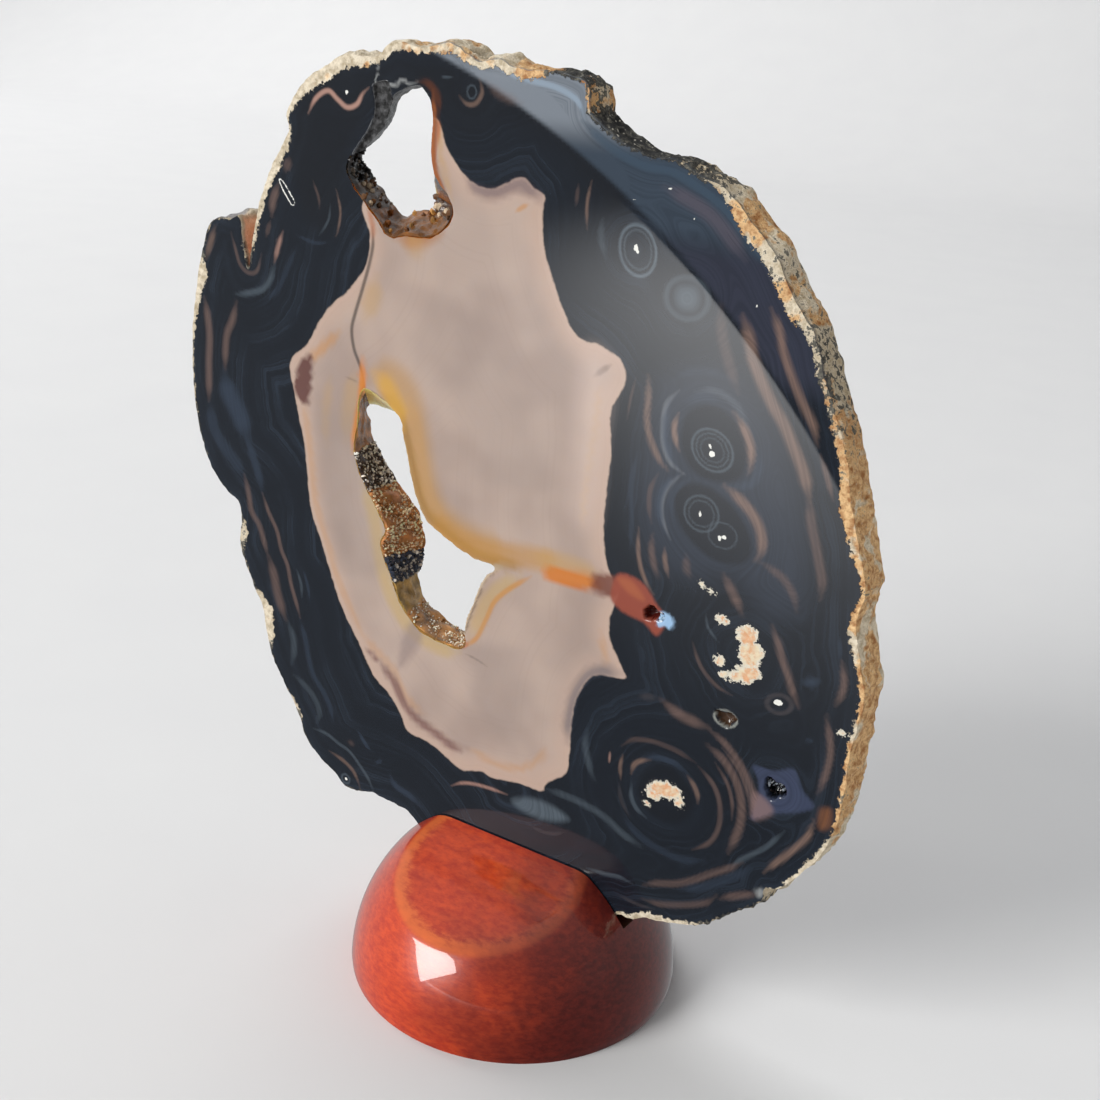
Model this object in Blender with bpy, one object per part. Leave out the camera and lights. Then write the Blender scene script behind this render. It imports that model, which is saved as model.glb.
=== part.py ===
"""A banded agate slice that stands in the slot of a turned wooden half ball.

Metres, +Z up. The origin is the centre of the half ball's flat base. The slot runs along X, the slice stands
upright in it, and the polished front face of the slice looks along -Y.
"""
import math

import bmesh
import bpy
from mathutils import Vector, noise

MM = 0.001
GAP = 0.3 * MM

# The wooden half ball
STAND_RADIUS = 28 * MM
STAND_SEGMENTS = 72
STAND_RINGS = 15
BASE_EDGE_RADIUS = 0.8 * MM
BASE_EDGE_ANGLE = math.radians(2.0)
FACET_TILT = math.radians(22.0)
FACET_DISTANCE = 23.2 * MM
SAW_RADIUS = 41.4 * MM
SLOT_FLOOR = 10.0 * MM

# The slice
FRONT_Y = -2.5 * MM
BACK_Y = 5.0 * MM
THICKNESS = BACK_Y - FRONT_Y
OUTLINE_SAMPLES_PER_POINT = 3
RIND_ROUGHNESS = 1.1 * MM
RIND_LUMP_SIZE = 4.5 * MM
RIND_CRUMB_SIZE = 1.6 * MM
LUMP_SHARE = 0.8
CRUMB_SHARE = 0.6
RIND_BULGE = 0.5 * MM
# Share of the way from the front face to the back face, how much of the bulge stands out there, and how much of
# the roughness it has: the two sawn edges are the calmest
RIND_RINGS = ((0.0, 0.0, 0.3), (0.1, 0.5, 0.7), (0.36, 0.9, 1.0), (0.62, 1.0, 1.0), (0.88, 0.6, 0.8), (1.0, 0.0, 0.4))
# Below this height and between these sides the edge sits in the slot and has lost its lumps
SLOT_TOP = 19.0 * MM
SLOT_HALF_WIDTH = 20.0 * MM
WORN_SHARE = 0.25

# Edge of the front face, in millimetres along X and Z, clockwise from the left shoulder
SLICE_OUTLINE = (
    (-50.1, 136.8), (-47.0, 141.2), (-42.7, 144.0), (-38.5, 146.0), (-32.5, 146.4), (-29.0, 148.5),
    (-24.0, 148.2), (-19.0, 149.0), (-16.0, 147.8), (-13.8, 146.8), (-10.8, 147.4), (-6.4, 146.3),
    (-1.5, 146.7), (3.6, 145.2), (5.0, 141.3), (9.0, 138.7), (14.3, 136.9), (18.0, 136.8),
    (22.0, 135.2), (26.2, 133.6), (30.0, 130.2), (33.8, 126.6), (37.6, 121.0), (41.0, 116.8),
    (43.0, 112.0), (45.6, 106.6), (48.0, 101.0), (49.8, 95.2), (51.5, 90.0), (53.2, 84.4),
    (52.8, 79.2), (54.0, 74.0), (55.4, 68.7), (54.8, 60.7), (54.8, 53.0), (54.2, 46.8),
    (51.6, 40.6), (48.4, 36.0), (46.9, 34.4), (45.1, 33.7), (44.8, 31.6), (42.7, 29.4),
    (38.8, 25.9), (35.0, 22.8), (30.0, 20.9), (25.8, 20.1), (23.6, 18.7), (20.7, 18.4),
    (17.0, 15.2), (11.0, 12.4), (3.0, 10.9), (-5.0, 11.0), (-12.0, 12.9), (-17.0, 16.2),
    (-20.2, 19.9), (-23.2, 21.5), (-27.7, 21.8), (-31.7, 21.7), (-36.4, 21.1), (-39.1, 23.2),
    (-43.5, 25.4), (-46.4, 29.0), (-47.2, 31.5), (-49.5, 34.8), (-52.0, 38.6), (-54.0, 42.0),
    (-55.4, 46.5), (-56.0, 50.5), (-59.4, 56.5), (-61.5, 62.0), (-61.0, 66.5), (-61.5, 69.2),
    (-64.3, 70.8), (-67.5, 73.6), (-69.4, 76.8), (-71.2, 83.0), (-72.3, 92.0), (-71.9, 99.7),
    (-70.5, 107.5), (-69.2, 112.5), (-67.6, 116.6), (-65.5, 118.6), (-62.6, 118.8), (-60.4, 119.6),
    (-59.6, 114.6), (-58.6, 111.6), (-57.8, 114.6), (-56.6, 120.4), (-55.2, 124.4), (-53.0, 128.5),
    (-50.4, 132.8), (-49.6, 134.7),
)

# The shallow ground band along the upper right edge: a cone about an axis along Y, in millimetres
BAND_AXIS = (-67.0, 11.7)
BAND_START_RADIUS = 142.8
BAND_WIDTH = 24.0
BAND_SLOPE = 0.12
BAND_CUTTER_HEIGHT = 6.0
BAND_ANGLES = (math.radians(20), math.radians(78))
BAND_STEPS = 28

# Each hollow: its edge on the front face and on the back face, point for point, anticlockwise from the top left
UPPER_HOLLOW_FRONT = (
    (-36.7, 131.3), (-37.2, 129.0), (-34.8, 126.0), (-31.6, 123.2), (-29.2, 120.7), (-26.0, 121.2),
    (-21.5, 121.6), (-18.6, 123.6), (-17.8, 126.4), (-21.2, 131.0), (-21.8, 135.0), (-21.8, 140.0),
    (-24.5, 142.6), (-29.0, 140.8), (-31.0, 136.3), (-34.0, 133.1),
)
UPPER_HOLLOW_BACK = (
    (-40.3, 132.0), (-40.6, 130.0), (-38.3, 127.7), (-35.8, 125.2), (-32.4, 122.4), (-29.8, 123.4),
    (-27.6, 124.0), (-26.2, 124.4), (-26.4, 126.5), (-26.6, 130.0), (-26.3, 134.5), (-26.3, 139.5),
    (-28.5, 142.0), (-33.0, 140.5), (-35.0, 136.5), (-37.8, 133.6),
)
MIDDLE_HOLLOW_FRONT = (
    (-33.4, 95.2), (-34.5, 89.0), (-35.1, 84.6), (-33.4, 80.4), (-30.2, 76.0), (-28.1, 72.4),
    (-29.2, 69.6), (-27.0, 65.0), (-24.2, 59.8), (-20.3, 56.9), (-15.0, 56.0), (-11.9, 56.6),
    (-11.8, 60.5), (-10.3, 65.0), (-8.6, 69.5), (-6.8, 71.8), (-11.0, 72.3), (-16.0, 74.0),
    (-20.8, 76.9), (-23.3, 82.0), (-25.3, 89.0), (-27.0, 92.8),
)
MIDDLE_HOLLOW_BACK = (
    (-38.4, 90.2), (-38.3, 87.5), (-37.2, 84.6), (-34.6, 81.0), (-31.0, 77.2), (-27.4, 74.0),
    (-26.0, 70.0), (-26.3, 65.5), (-27.2, 61.8), (-24.6, 58.0), (-19.5, 55.8), (-16.0, 55.4),
    (-13.6, 58.8), (-11.2, 63.4), (-8.4, 67.0), (-5.0, 70.2), (-9.5, 71.6), (-15.0, 73.0),
    (-20.5, 75.4), (-23.6, 80.0), (-26.4, 86.0), (-31.5, 89.9),
)
HOLLOW_SAMPLES_PER_POINT = 3
HOLLOW_RINGS = 4
# How far the plug that cuts a hollow runs past each face, as a share of the thickness
PLUG_REACH = 0.2

# Crusts: first and last outline point that the crystals cover, rows across the thickness, crystal height
CRUST_DEPTH = 1.1 * MM
UPPER_CRUST = {"first_point": 0, "last_point": 8, "rows": 3, "height": 0.9 * MM}
MIDDLE_CRUST = {"first_point": 0, "last_point": 11, "rows": 4, "height": 0.7 * MM}
CRUST_FADE_POINTS = 0.6
# Shares of the crystal height: the mean and the swing of the tips, and of the valleys between them
TIP_MEAN, TIP_SWING = 0.55, 0.4
VALLEY_MEAN, VALLEY_SWING = -0.3, 0.25
TIP_LEAN = 0.22

# Pits in the front face: centre in X and Z, half sizes in X and Z, depth, all in millimetres
PITS = (
    (35.4, 59.2, 1.7, 1.2, 1.4),
    (44.3, 50.6, 1.8, 1.6, 2.4),
    (22.0, 72.0, 1.9, 1.1, 2.0),
)
PIT_SIDES = 10
# Share of the depth and of the half sizes at each ring of a pit, from above the face to its floor
PIT_RINGS = ((-0.5, 1.15), (0.0, 1.0), (0.7, 0.75), (1.0, 0.35))


def clear_scene():
    for old in list(bpy.data.objects):
        bpy.data.objects.remove(old, do_unlink=True)


def make_material(name, colour, roughness, metallic=0.0):
    material = bpy.data.materials.new(name)
    material.use_nodes = True
    shader = material.node_tree.nodes["Principled BSDF"]
    shader.inputs["Base Color"].default_value = (*colour, 1.0)
    shader.inputs["Roughness"].default_value = roughness
    shader.inputs["Metallic"].default_value = metallic
    return material


def object_from_bmesh(name, mesh_data, material=None):
    bmesh.ops.recalc_face_normals(mesh_data, faces=mesh_data.faces)
    mesh = bpy.data.meshes.new(name)
    mesh_data.to_mesh(mesh)
    mesh_data.free()
    made = bpy.data.objects.new(name, mesh)
    bpy.context.collection.objects.link(made)
    if material:
        mesh.materials.append(material)
    return made


def make_cutter(made):
    made.hide_render = True
    made.display_type = "WIRE"
    return made


def cut(target, cutter):
    """Takes the cutter's shape out of the target and keeps the cutter as a guide."""
    boolean = target.modifiers.new("cut_" + cutter.name, "BOOLEAN")
    boolean.operation = "DIFFERENCE"
    boolean.solver = "EXACT"
    boolean.object = make_cutter(cutter)


def smooth_loop_point(points, position):
    """A point on the closed smooth curve through the points; whole numbers are the points themselves."""
    count = len(points)
    start = math.floor(position)
    along = position - start
    before, here, after, beyond = (Vector(points[(start + step) % count]) for step in (-1, 0, 1, 2))
    return 0.5 * (
        2 * here
        + (after - before) * along
        + (2 * before - 5 * here + 4 * after - beyond) * along**2
        + (3 * here - before - 3 * after + beyond) * along**3
    )


def smooth_loop(points, samples_per_point):
    total = len(points) * samples_per_point
    return [smooth_loop_point(points, index / samples_per_point) * MM for index in range(total)]


def outward_normals(loop, clockwise):
    """Unit normals in X and Z that point away from the inside of a closed loop."""
    side = 1 if clockwise else -1
    normals = []
    for index, _ in enumerate(loop):
        tangent = (loop[(index + 1) % len(loop)] - loop[index - 1]).normalized()
        normals.append(Vector((-tangent.y, tangent.x)) * side)
    return normals


def add_ring(mesh_data, loop, depth):
    return [mesh_data.verts.new((point.x, depth, point.y)) for point in loop]


def bridge_rings(mesh_data, rings, closed_ends=True):
    """Skins a row of closed rings with quads and closes both ends."""
    for first, second in zip(rings, rings[1:]):
        for index, _ in enumerate(first):
            follow = (index + 1) % len(first)
            mesh_data.faces.new((first[index], first[follow], second[follow], second[index]))
    if closed_ends:
        mesh_data.faces.new(rings[0])
        mesh_data.faces.new(list(reversed(rings[-1])))


def rind_offset(point, depth):
    """How far the rough rind stands in or out at one place."""
    place = Vector((point.x, depth, point.y))
    lumps = noise.noise(place / RIND_LUMP_SIZE)
    crumbs = noise.noise(place / RIND_CRUMB_SIZE + Vector((7, 3, 5)))
    in_slot = point.y < SLOT_TOP and abs(point.x) < SLOT_HALF_WIDTH
    roughness = RIND_ROUGHNESS * (WORN_SHARE if in_slot else 1.0)
    return roughness * (LUMP_SHARE * lumps + CRUMB_SHARE * crumbs)


def slab():
    """The slice before its hollows: the outline, drawn through its thickness with a rough bulging rind."""
    loop = smooth_loop(SLICE_OUTLINE, OUTLINE_SAMPLES_PER_POINT)
    normals = outward_normals(loop, clockwise=True)
    mesh_data = bmesh.new()
    rings = []
    for share, bulge, roughness in RIND_RINGS:
        depth = FRONT_Y + share * THICKNESS
        moved = []
        for point, normal in zip(loop, normals):
            moved.append(point + normal * (bulge * RIND_BULGE + roughness * rind_offset(point, depth)))
        rings.append(add_ring(mesh_data, moved, depth))
    bridge_rings(mesh_data, rings)
    return mesh_data


def crust_cover(position, crust):
    """1 where a crust covers the wall of a hollow, falling to 0 past its ends."""
    inside = min(position - crust["first_point"], crust["last_point"] - position)
    return min(1.0, max(0.0, 1.0 + inside / CRUST_FADE_POINTS))


def hollow_sides(front_points, back_points):
    """The front and back edge of a hollow, each as points with their normals into the stone."""
    sides = []
    for points in (front_points, back_points):
        loop = smooth_loop(points, HOLLOW_SAMPLES_PER_POINT)
        sides.append(list(zip(loop, outward_normals(loop, clockwise=False))))
    return sides


def wall_point(sides, sample, share, into_stone):
    """A point of a hollow's wall, a share of the way to the back and set into the stone."""
    near, far = (point + normal * into_stone for point, normal in (side[sample] for side in sides))
    return near.lerp(far, share)


def hollow_cutter(name, front_points, back_points, crust):
    """A lofted plug in the shape of a hollow, wider by the crust's depth where crystals line it."""
    sides = hollow_sides(front_points, back_points)
    mesh_data = bmesh.new()
    rings = []
    for ring in range(HOLLOW_RINGS):
        share = -PLUG_REACH + (1 + 2 * PLUG_REACH) * ring / (HOLLOW_RINGS - 1)
        loop = []
        for sample, _ in enumerate(sides[0]):
            position = sample / HOLLOW_SAMPLES_PER_POINT
            if position > len(front_points) - 1:
                position -= len(front_points)
            loop.append(wall_point(sides, sample, share, CRUST_DEPTH * crust_cover(position, crust)))
        rings.append(add_ring(mesh_data, loop, FRONT_Y + share * THICKNESS))
    bridge_rings(mesh_data, rings)
    return object_from_bmesh(name, mesh_data)


def band_cutter():
    """A wedge-shaped ring that grinds the shallow band along the upper right of the front face."""
    profile = (
        (BAND_START_RADIUS, 0.0),
        (BAND_START_RADIUS + BAND_WIDTH, BAND_SLOPE * BAND_WIDTH),
        (BAND_START_RADIUS + BAND_WIDTH, -BAND_CUTTER_HEIGHT),
        (BAND_START_RADIUS, -BAND_CUTTER_HEIGHT),
    )
    mesh_data = bmesh.new()
    sections = []
    for step in range(BAND_STEPS + 1):
        angle = BAND_ANGLES[0] + (BAND_ANGLES[1] - BAND_ANGLES[0]) * step / BAND_STEPS
        section = []
        for radius, depth in profile:
            x = BAND_AXIS[0] + radius * math.cos(angle)
            z = BAND_AXIS[1] + radius * math.sin(angle)
            section.append(mesh_data.verts.new((x * MM, FRONT_Y + depth * MM, z * MM)))
        sections.append(section)
    bridge_rings(mesh_data, sections)
    return object_from_bmesh("ground_band", mesh_data)


def pit_cutter(index, centre_x, centre_z, half_x, half_z, depth):
    """An uneven blunt cone that sinks into the front face."""
    mesh_data = bmesh.new()
    rings = []
    for share, size in PIT_RINGS:
        ring = []
        for side in range(PIT_SIDES):
            angle = 2 * math.pi * side / PIT_SIDES
            ragged = 1 + 0.18 * math.sin(3 * angle + index) + 0.1 * math.cos(5 * angle + 2 * index)
            x = centre_x + half_x * size * ragged * math.cos(angle)
            z = centre_z + half_z * size * ragged * math.sin(angle)
            ring.append(mesh_data.verts.new((x * MM, FRONT_Y + share * depth * MM, z * MM)))
        rings.append(ring)
    bridge_rings(mesh_data, rings)
    return object_from_bmesh(f"pit_{index}", mesh_data)


def make_slice(material):
    made = object_from_bmesh("agate_slice", slab(), material)
    cut(made, hollow_cutter("upper_hollow", UPPER_HOLLOW_FRONT, UPPER_HOLLOW_BACK, UPPER_CRUST))
    cut(made, hollow_cutter("middle_hollow", MIDDLE_HOLLOW_FRONT, MIDDLE_HOLLOW_BACK, MIDDLE_CRUST))
    cut(made, band_cutter())
    for index, pit in enumerate(PITS):
        cut(made, pit_cutter(index, *pit))
    return made


def make_crust(name, front_points, back_points, crust, material):
    """A crust on part of a hollow's wall: a plain back against the stone and a point on every crystal cell."""
    sides = hollow_sides(front_points, back_points)
    first = crust["first_point"] * HOLLOW_SAMPLES_PER_POINT
    columns = crust["last_point"] * HOLLOW_SAMPLES_PER_POINT - first
    rows, height = crust["rows"], crust["height"]
    clear = GAP / THICKNESS
    mesh_data = bmesh.new()

    def place(column, row, inward):
        share = clear + (1 - 2 * clear) * row / rows
        left = math.floor(column)
        point = wall_point(sides, first + left, share, -inward)
        if column > left:
            point = point.lerp(wall_point(sides, first + left + 1, share, -inward), column - left)
        return mesh_data.verts.new((point.x, FRONT_Y + share * THICKNESS, point.y))

    def valley(column, row):
        return height * (VALLEY_MEAN + VALLEY_SWING * math.sin(2.4 * column + 1.7 * row))

    def tip(column, row):
        lean = 0.5 + TIP_LEAN * math.sin(5.1 * column + 2.3 * row)
        tall = height * (TIP_MEAN + TIP_SWING * math.sin(3.7 * column + 4.9 * row))
        return place(column + lean, row + 0.5, tall)

    wall = [[place(c, r, GAP - CRUST_DEPTH) for r in range(rows + 1)] for c in range(columns + 1)]
    face = [[place(c, r, valley(c, r)) for r in range(rows + 1)] for c in range(columns + 1)]
    for c in range(columns):
        for r in range(rows):
            mesh_data.faces.new((wall[c][r], wall[c][r + 1], wall[c + 1][r + 1], wall[c + 1][r]))
            point = tip(c, r)
            corners = (face[c][r], face[c + 1][r], face[c + 1][r + 1], face[c][r + 1])
            for one, other in zip(corners, corners[1:] + corners[:1]):
                mesh_data.faces.new((one, other, point))
        mesh_data.faces.new((wall[c][0], wall[c + 1][0], face[c + 1][0], face[c][0]))
        mesh_data.faces.new((wall[c + 1][rows], wall[c][rows], face[c][rows], face[c + 1][rows]))
    for r in range(rows):
        mesh_data.faces.new((wall[0][r + 1], wall[0][r], face[0][r], face[0][r + 1]))
        mesh_data.faces.new((wall[columns][r], wall[columns][r + 1], face[columns][r + 1], face[columns][r]))
    return object_from_bmesh(name, mesh_data, material)


def half_ball():
    """A turned half ball on a flat base, with a small round along its lower edge."""
    mesh_data = bmesh.new()
    profile = [(STAND_RADIUS - BASE_EDGE_RADIUS, 0.0)]
    for ring in range(STAND_RINGS):
        angle = BASE_EDGE_ANGLE + (math.pi / 2 - BASE_EDGE_ANGLE) * ring / STAND_RINGS
        profile.append((STAND_RADIUS * math.cos(angle), STAND_RADIUS * math.sin(angle)))
    rings = []
    for radius, height in profile:
        ring = []
        for segment in range(STAND_SEGMENTS):
            turn = 2 * math.pi * segment / STAND_SEGMENTS
            ring.append(mesh_data.verts.new((radius * math.cos(turn), radius * math.sin(turn), height)))
        rings.append(ring)
    bridge_rings(mesh_data, rings, closed_ends=False)
    mesh_data.faces.new(rings[0])
    top = mesh_data.verts.new((0, 0, STAND_RADIUS))
    for segment, corner in enumerate(rings[-1]):
        mesh_data.faces.new((corner, rings[-1][(segment + 1) % STAND_SEGMENTS], top))
    return mesh_data


def facet_cutter():
    """A block whose lower face lies on the plane of the facet."""
    mesh_data = bmesh.new()
    bmesh.ops.create_cube(mesh_data, size=1.0)
    size = 3 * STAND_RADIUS
    bmesh.ops.scale(mesh_data, vec=(size, size, size), verts=mesh_data.verts)
    block = object_from_bmesh("facet_plane", mesh_data)
    facing = Vector((0, -math.sin(FACET_TILT), math.cos(FACET_TILT)))
    block.rotation_euler = (FACET_TILT, 0, 0)
    block.location = facing * (FACET_DISTANCE + size / 2)
    return block


def slot_cutter():
    """A thin disc, like the saw blade that cut the slot."""
    mesh_data = bmesh.new()
    bmesh.ops.create_cone(
        mesh_data, cap_ends=True, segments=96, radius1=SAW_RADIUS, radius2=SAW_RADIUS, depth=THICKNESS + 2 * GAP
    )
    disc = object_from_bmesh("slot_disc", mesh_data)
    disc.rotation_euler = (math.pi / 2, 0, 0)
    disc.location = (0, (FRONT_Y + BACK_Y) / 2, SLOT_FLOOR + SAW_RADIUS)
    return disc


def make_stand(material):
    made = object_from_bmesh("wooden_stand", half_ball(), material)
    made.data.shade_smooth()
    made.data.set_sharp_from_angle(angle=math.radians(30))
    cut(made, facet_cutter())
    cut(made, slot_cutter())
    return made


def build():
    clear_scene()
    stone = make_material("polished_agate", (0.05, 0.06, 0.075), 0.12)
    brown_quartz = make_material("brown_quartz", (0.32, 0.19, 0.07), 0.25)
    dark_quartz = make_material("sparkling_quartz", (0.28, 0.19, 0.11), 0.3)
    varnished_wood = make_material("varnished_wood", (0.48, 0.09, 0.03), 0.2)
    make_stand(varnished_wood)
    make_slice(stone)
    make_crust("upper_hollow_crystals", UPPER_HOLLOW_FRONT, UPPER_HOLLOW_BACK, UPPER_CRUST, brown_quartz)
    make_crust("middle_hollow_crystals", MIDDLE_HOLLOW_FRONT, MIDDLE_HOLLOW_BACK, MIDDLE_CRUST, dark_quartz)


build()
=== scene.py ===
"""The looks of a banded agate slice that stands in the slot of a turned wooden half ball.

The frame gives the pieces' places. The slice, its two crusts of crystals and the stand are modelled again as
fine meshes, in millimetres, with the banding worked out as smooth fields on the slice's own points.
"""
import math

import bmesh
import bpy
import numpy as np
from mathutils import Matrix, Vector, noise
from mathutils.geometry import delaunay_2d_cdt


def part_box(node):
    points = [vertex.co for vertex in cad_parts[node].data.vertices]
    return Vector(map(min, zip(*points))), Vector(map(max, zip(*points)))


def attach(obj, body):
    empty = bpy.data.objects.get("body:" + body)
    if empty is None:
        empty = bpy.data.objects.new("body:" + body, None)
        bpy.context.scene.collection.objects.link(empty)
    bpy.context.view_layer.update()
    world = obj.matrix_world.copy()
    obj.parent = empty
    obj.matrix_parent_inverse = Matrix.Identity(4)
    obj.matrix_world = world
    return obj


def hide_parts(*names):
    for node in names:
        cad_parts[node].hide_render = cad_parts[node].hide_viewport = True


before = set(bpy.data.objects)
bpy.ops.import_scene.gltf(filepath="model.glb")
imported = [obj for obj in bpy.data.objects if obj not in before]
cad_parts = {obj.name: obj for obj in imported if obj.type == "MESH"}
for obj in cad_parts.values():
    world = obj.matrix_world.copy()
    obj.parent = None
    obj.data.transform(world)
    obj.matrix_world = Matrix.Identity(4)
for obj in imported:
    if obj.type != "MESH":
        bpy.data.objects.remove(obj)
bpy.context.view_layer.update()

MM = 0.001
SLICE_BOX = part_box("agate_slice")
FRONT = SLICE_BOX[0].y / MM
BACK = SLICE_BOX[1].y / MM
THICKNESS = BACK - FRONT

# Edge of the front face, in millimetres along X and Z, clockwise from the left shoulder
SLICE_OUTLINE = (
    (-50.1, 136.8), (-47, 141.2), (-42.7, 144), (-38.5, 146), (-32.5, 146.4), (-29, 148.5), (-24, 148.2),
    (-19, 149), (-16, 147.8), (-13.8, 146.8), (-10.8, 147.4), (-6.4, 146.3), (-1.5, 146.7), (3.6, 145.2),
    (5, 141.3), (9, 138.7), (14.3, 136.9), (18, 136.8), (22, 135.2), (26.2, 133.6), (30, 130.2),
    (33.8, 126.6), (37.6, 121), (41, 116.8), (43, 112), (45.6, 106.6), (48, 101), (49.8, 95.2), (51.5, 90),
    (53.2, 84.4), (52.8, 79.2), (54, 74), (55.4, 68.7), (54.8, 60.7), (54.8, 53), (54.2, 46.8),
    (51.6, 40.6), (48.4, 36), (46.9, 34.4), (45.1, 33.7), (44.8, 31.6), (42.7, 29.4), (38.8, 25.9),
    (35, 22.8), (30, 20.9), (25.8, 20.1), (23.6, 18.7), (20.7, 18.4), (17, 15.2), (11, 12.4), (3, 10.9),
    (-5, 11), (-12, 12.9), (-17, 16.2), (-20.2, 19.9), (-23.2, 21.5), (-27.7, 21.8), (-31.7, 21.7),
    (-36.4, 21.1), (-39.1, 23.2), (-43.5, 25.4), (-46.4, 29), (-47.2, 31.5), (-49.5, 34.8), (-52, 38.6),
    (-54, 42), (-55.4, 46.5), (-56, 50.5), (-59.4, 56.5), (-61.5, 62), (-61, 66.5), (-61.5, 69.2),
    (-64.3, 70.8), (-67.5, 73.6), (-69.4, 76.8), (-71.2, 83), (-72.3, 92), (-71.9, 99.7), (-70.5, 107.5),
    (-69.2, 112.5), (-67.6, 116.6), (-65.5, 118.6), (-62.6, 118.8), (-60.4, 119.6), (-59.6, 114.6),
    (-58.6, 111.6), (-57.8, 114.6), (-56.6, 120.4), (-55.2, 124.4), (-53, 128.5), (-50.4, 132.8),
    (-49.6, 134.7),
)

# Each hollow: its edge on the front face and on the back face, point for point, anticlockwise from the top
# left, and the number of spans from its first point that crystals cover
UPPER_HOLLOW_FRONT = (
    (-36.7, 131.3), (-37.2, 129), (-34.8, 126), (-31.6, 123.2), (-29.2, 120.7), (-26, 121.2),
    (-21.5, 121.6), (-18.6, 123.6), (-17.8, 126.4), (-21.2, 131), (-21.8, 135), (-21.8, 140),
    (-24.5, 142.6), (-29, 140.8), (-31, 136.3), (-34, 133.1),
)
UPPER_HOLLOW_BACK = (
    (-40.3, 132), (-40.6, 130), (-38.3, 127.7), (-35.8, 125.2), (-32.4, 122.4), (-29.8, 123.4),
    (-27.6, 124), (-26.2, 124.4), (-26.4, 126.5), (-26.6, 130), (-26.3, 134.5), (-26.3, 139.5),
    (-28.5, 142), (-33, 140.5), (-35, 136.5), (-37.8, 133.6),
)
MIDDLE_HOLLOW_FRONT = (
    (-33.4, 95.2), (-34.5, 89), (-35.1, 84.6), (-33.4, 80.4), (-30.2, 76), (-28.1, 72.4), (-29.2, 69.6),
    (-27, 65), (-24.2, 59.8), (-20.3, 56.9), (-15, 56), (-11.9, 56.6), (-11.8, 60.5), (-10.3, 65),
    (-8.6, 69.5), (-6.8, 71.8), (-11, 72.3), (-16, 74), (-20.8, 76.9), (-23.3, 82), (-25.3, 89),
    (-27, 92.8),
)
MIDDLE_HOLLOW_BACK = (
    (-38.4, 90.2), (-38.3, 87.5), (-37.2, 84.6), (-34.6, 81), (-31, 77.2), (-27.4, 74), (-26, 70),
    (-26.3, 65.5), (-27.2, 61.8), (-24.6, 58), (-19.5, 55.8), (-16, 55.4), (-13.6, 58.8), (-11.2, 63.4),
    (-8.4, 67), (-5, 70.2), (-9.5, 71.6), (-15, 73), (-20.5, 75.4), (-23.6, 80), (-26.4, 86), (-31.5, 89.9),
)
UPPER_HOLLOW = (UPPER_HOLLOW_FRONT, UPPER_HOLLOW_BACK, 8)
MIDDLE_HOLLOW = (MIDDLE_HOLLOW_FRONT, MIDDLE_HOLLOW_BACK, 11)

# Edge of the pale translucent middle, clockwise from the top of the upper hollow
CORE_OUTLINE = (
    (-20.8, 138.5), (-18.8, 134.7), (-16.3, 131.9), (-13.7, 130.2), (-10.2, 129.9), (-5.6, 131.9),
    (-3.5, 130.8), (-1.4, 129.8), (-1.5, 127), (-0.8, 122.4), (1.2, 117.6), (4.2, 112.4), (6.4, 110.6),
    (9.1, 110.4), (11.3, 109.7), (13, 108.9), (14.2, 106.5), (13.2, 103.5), (12.1, 100.7), (12.7, 95.8),
    (12.6, 90.1), (12.5, 83.9), (13.2, 79.1), (14.8, 75.5), (15.9, 74), (15.6, 71.8), (14.9, 69),
    (15.4, 65.5), (17.6, 62.1), (18.3, 60.2), (13.1, 59), (10.5, 54.9), (9.7, 49.8), (9.7, 44.7),
    (9.3, 40.5), (5.9, 37.2), (5.1, 35.4), (0.8, 35.3), (-4.6, 34.4), (-6.9, 34.8), (-10.9, 33.6),
    (-14.1, 34.8), (-18, 36.3), (-22.8, 37), (-24.4, 39.9), (-26.7, 42.5), (-30.7, 45.4), (-34, 50.7),
    (-37, 54.7), (-39.7, 60.1), (-42.5, 67), (-44.8, 72.1), (-45.7, 78.5), (-46.4, 83.7), (-47.7, 88.5),
    (-48.6, 92.4), (-49.5, 97.2), (-45.7, 100.9), (-42.8, 105.5), (-39.8, 108.9), (-37, 111.1),
    (-33.6, 115.7), (-33.1, 120.3), (-34.6, 124.6), (-30, 130), (-25, 137),
)

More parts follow.
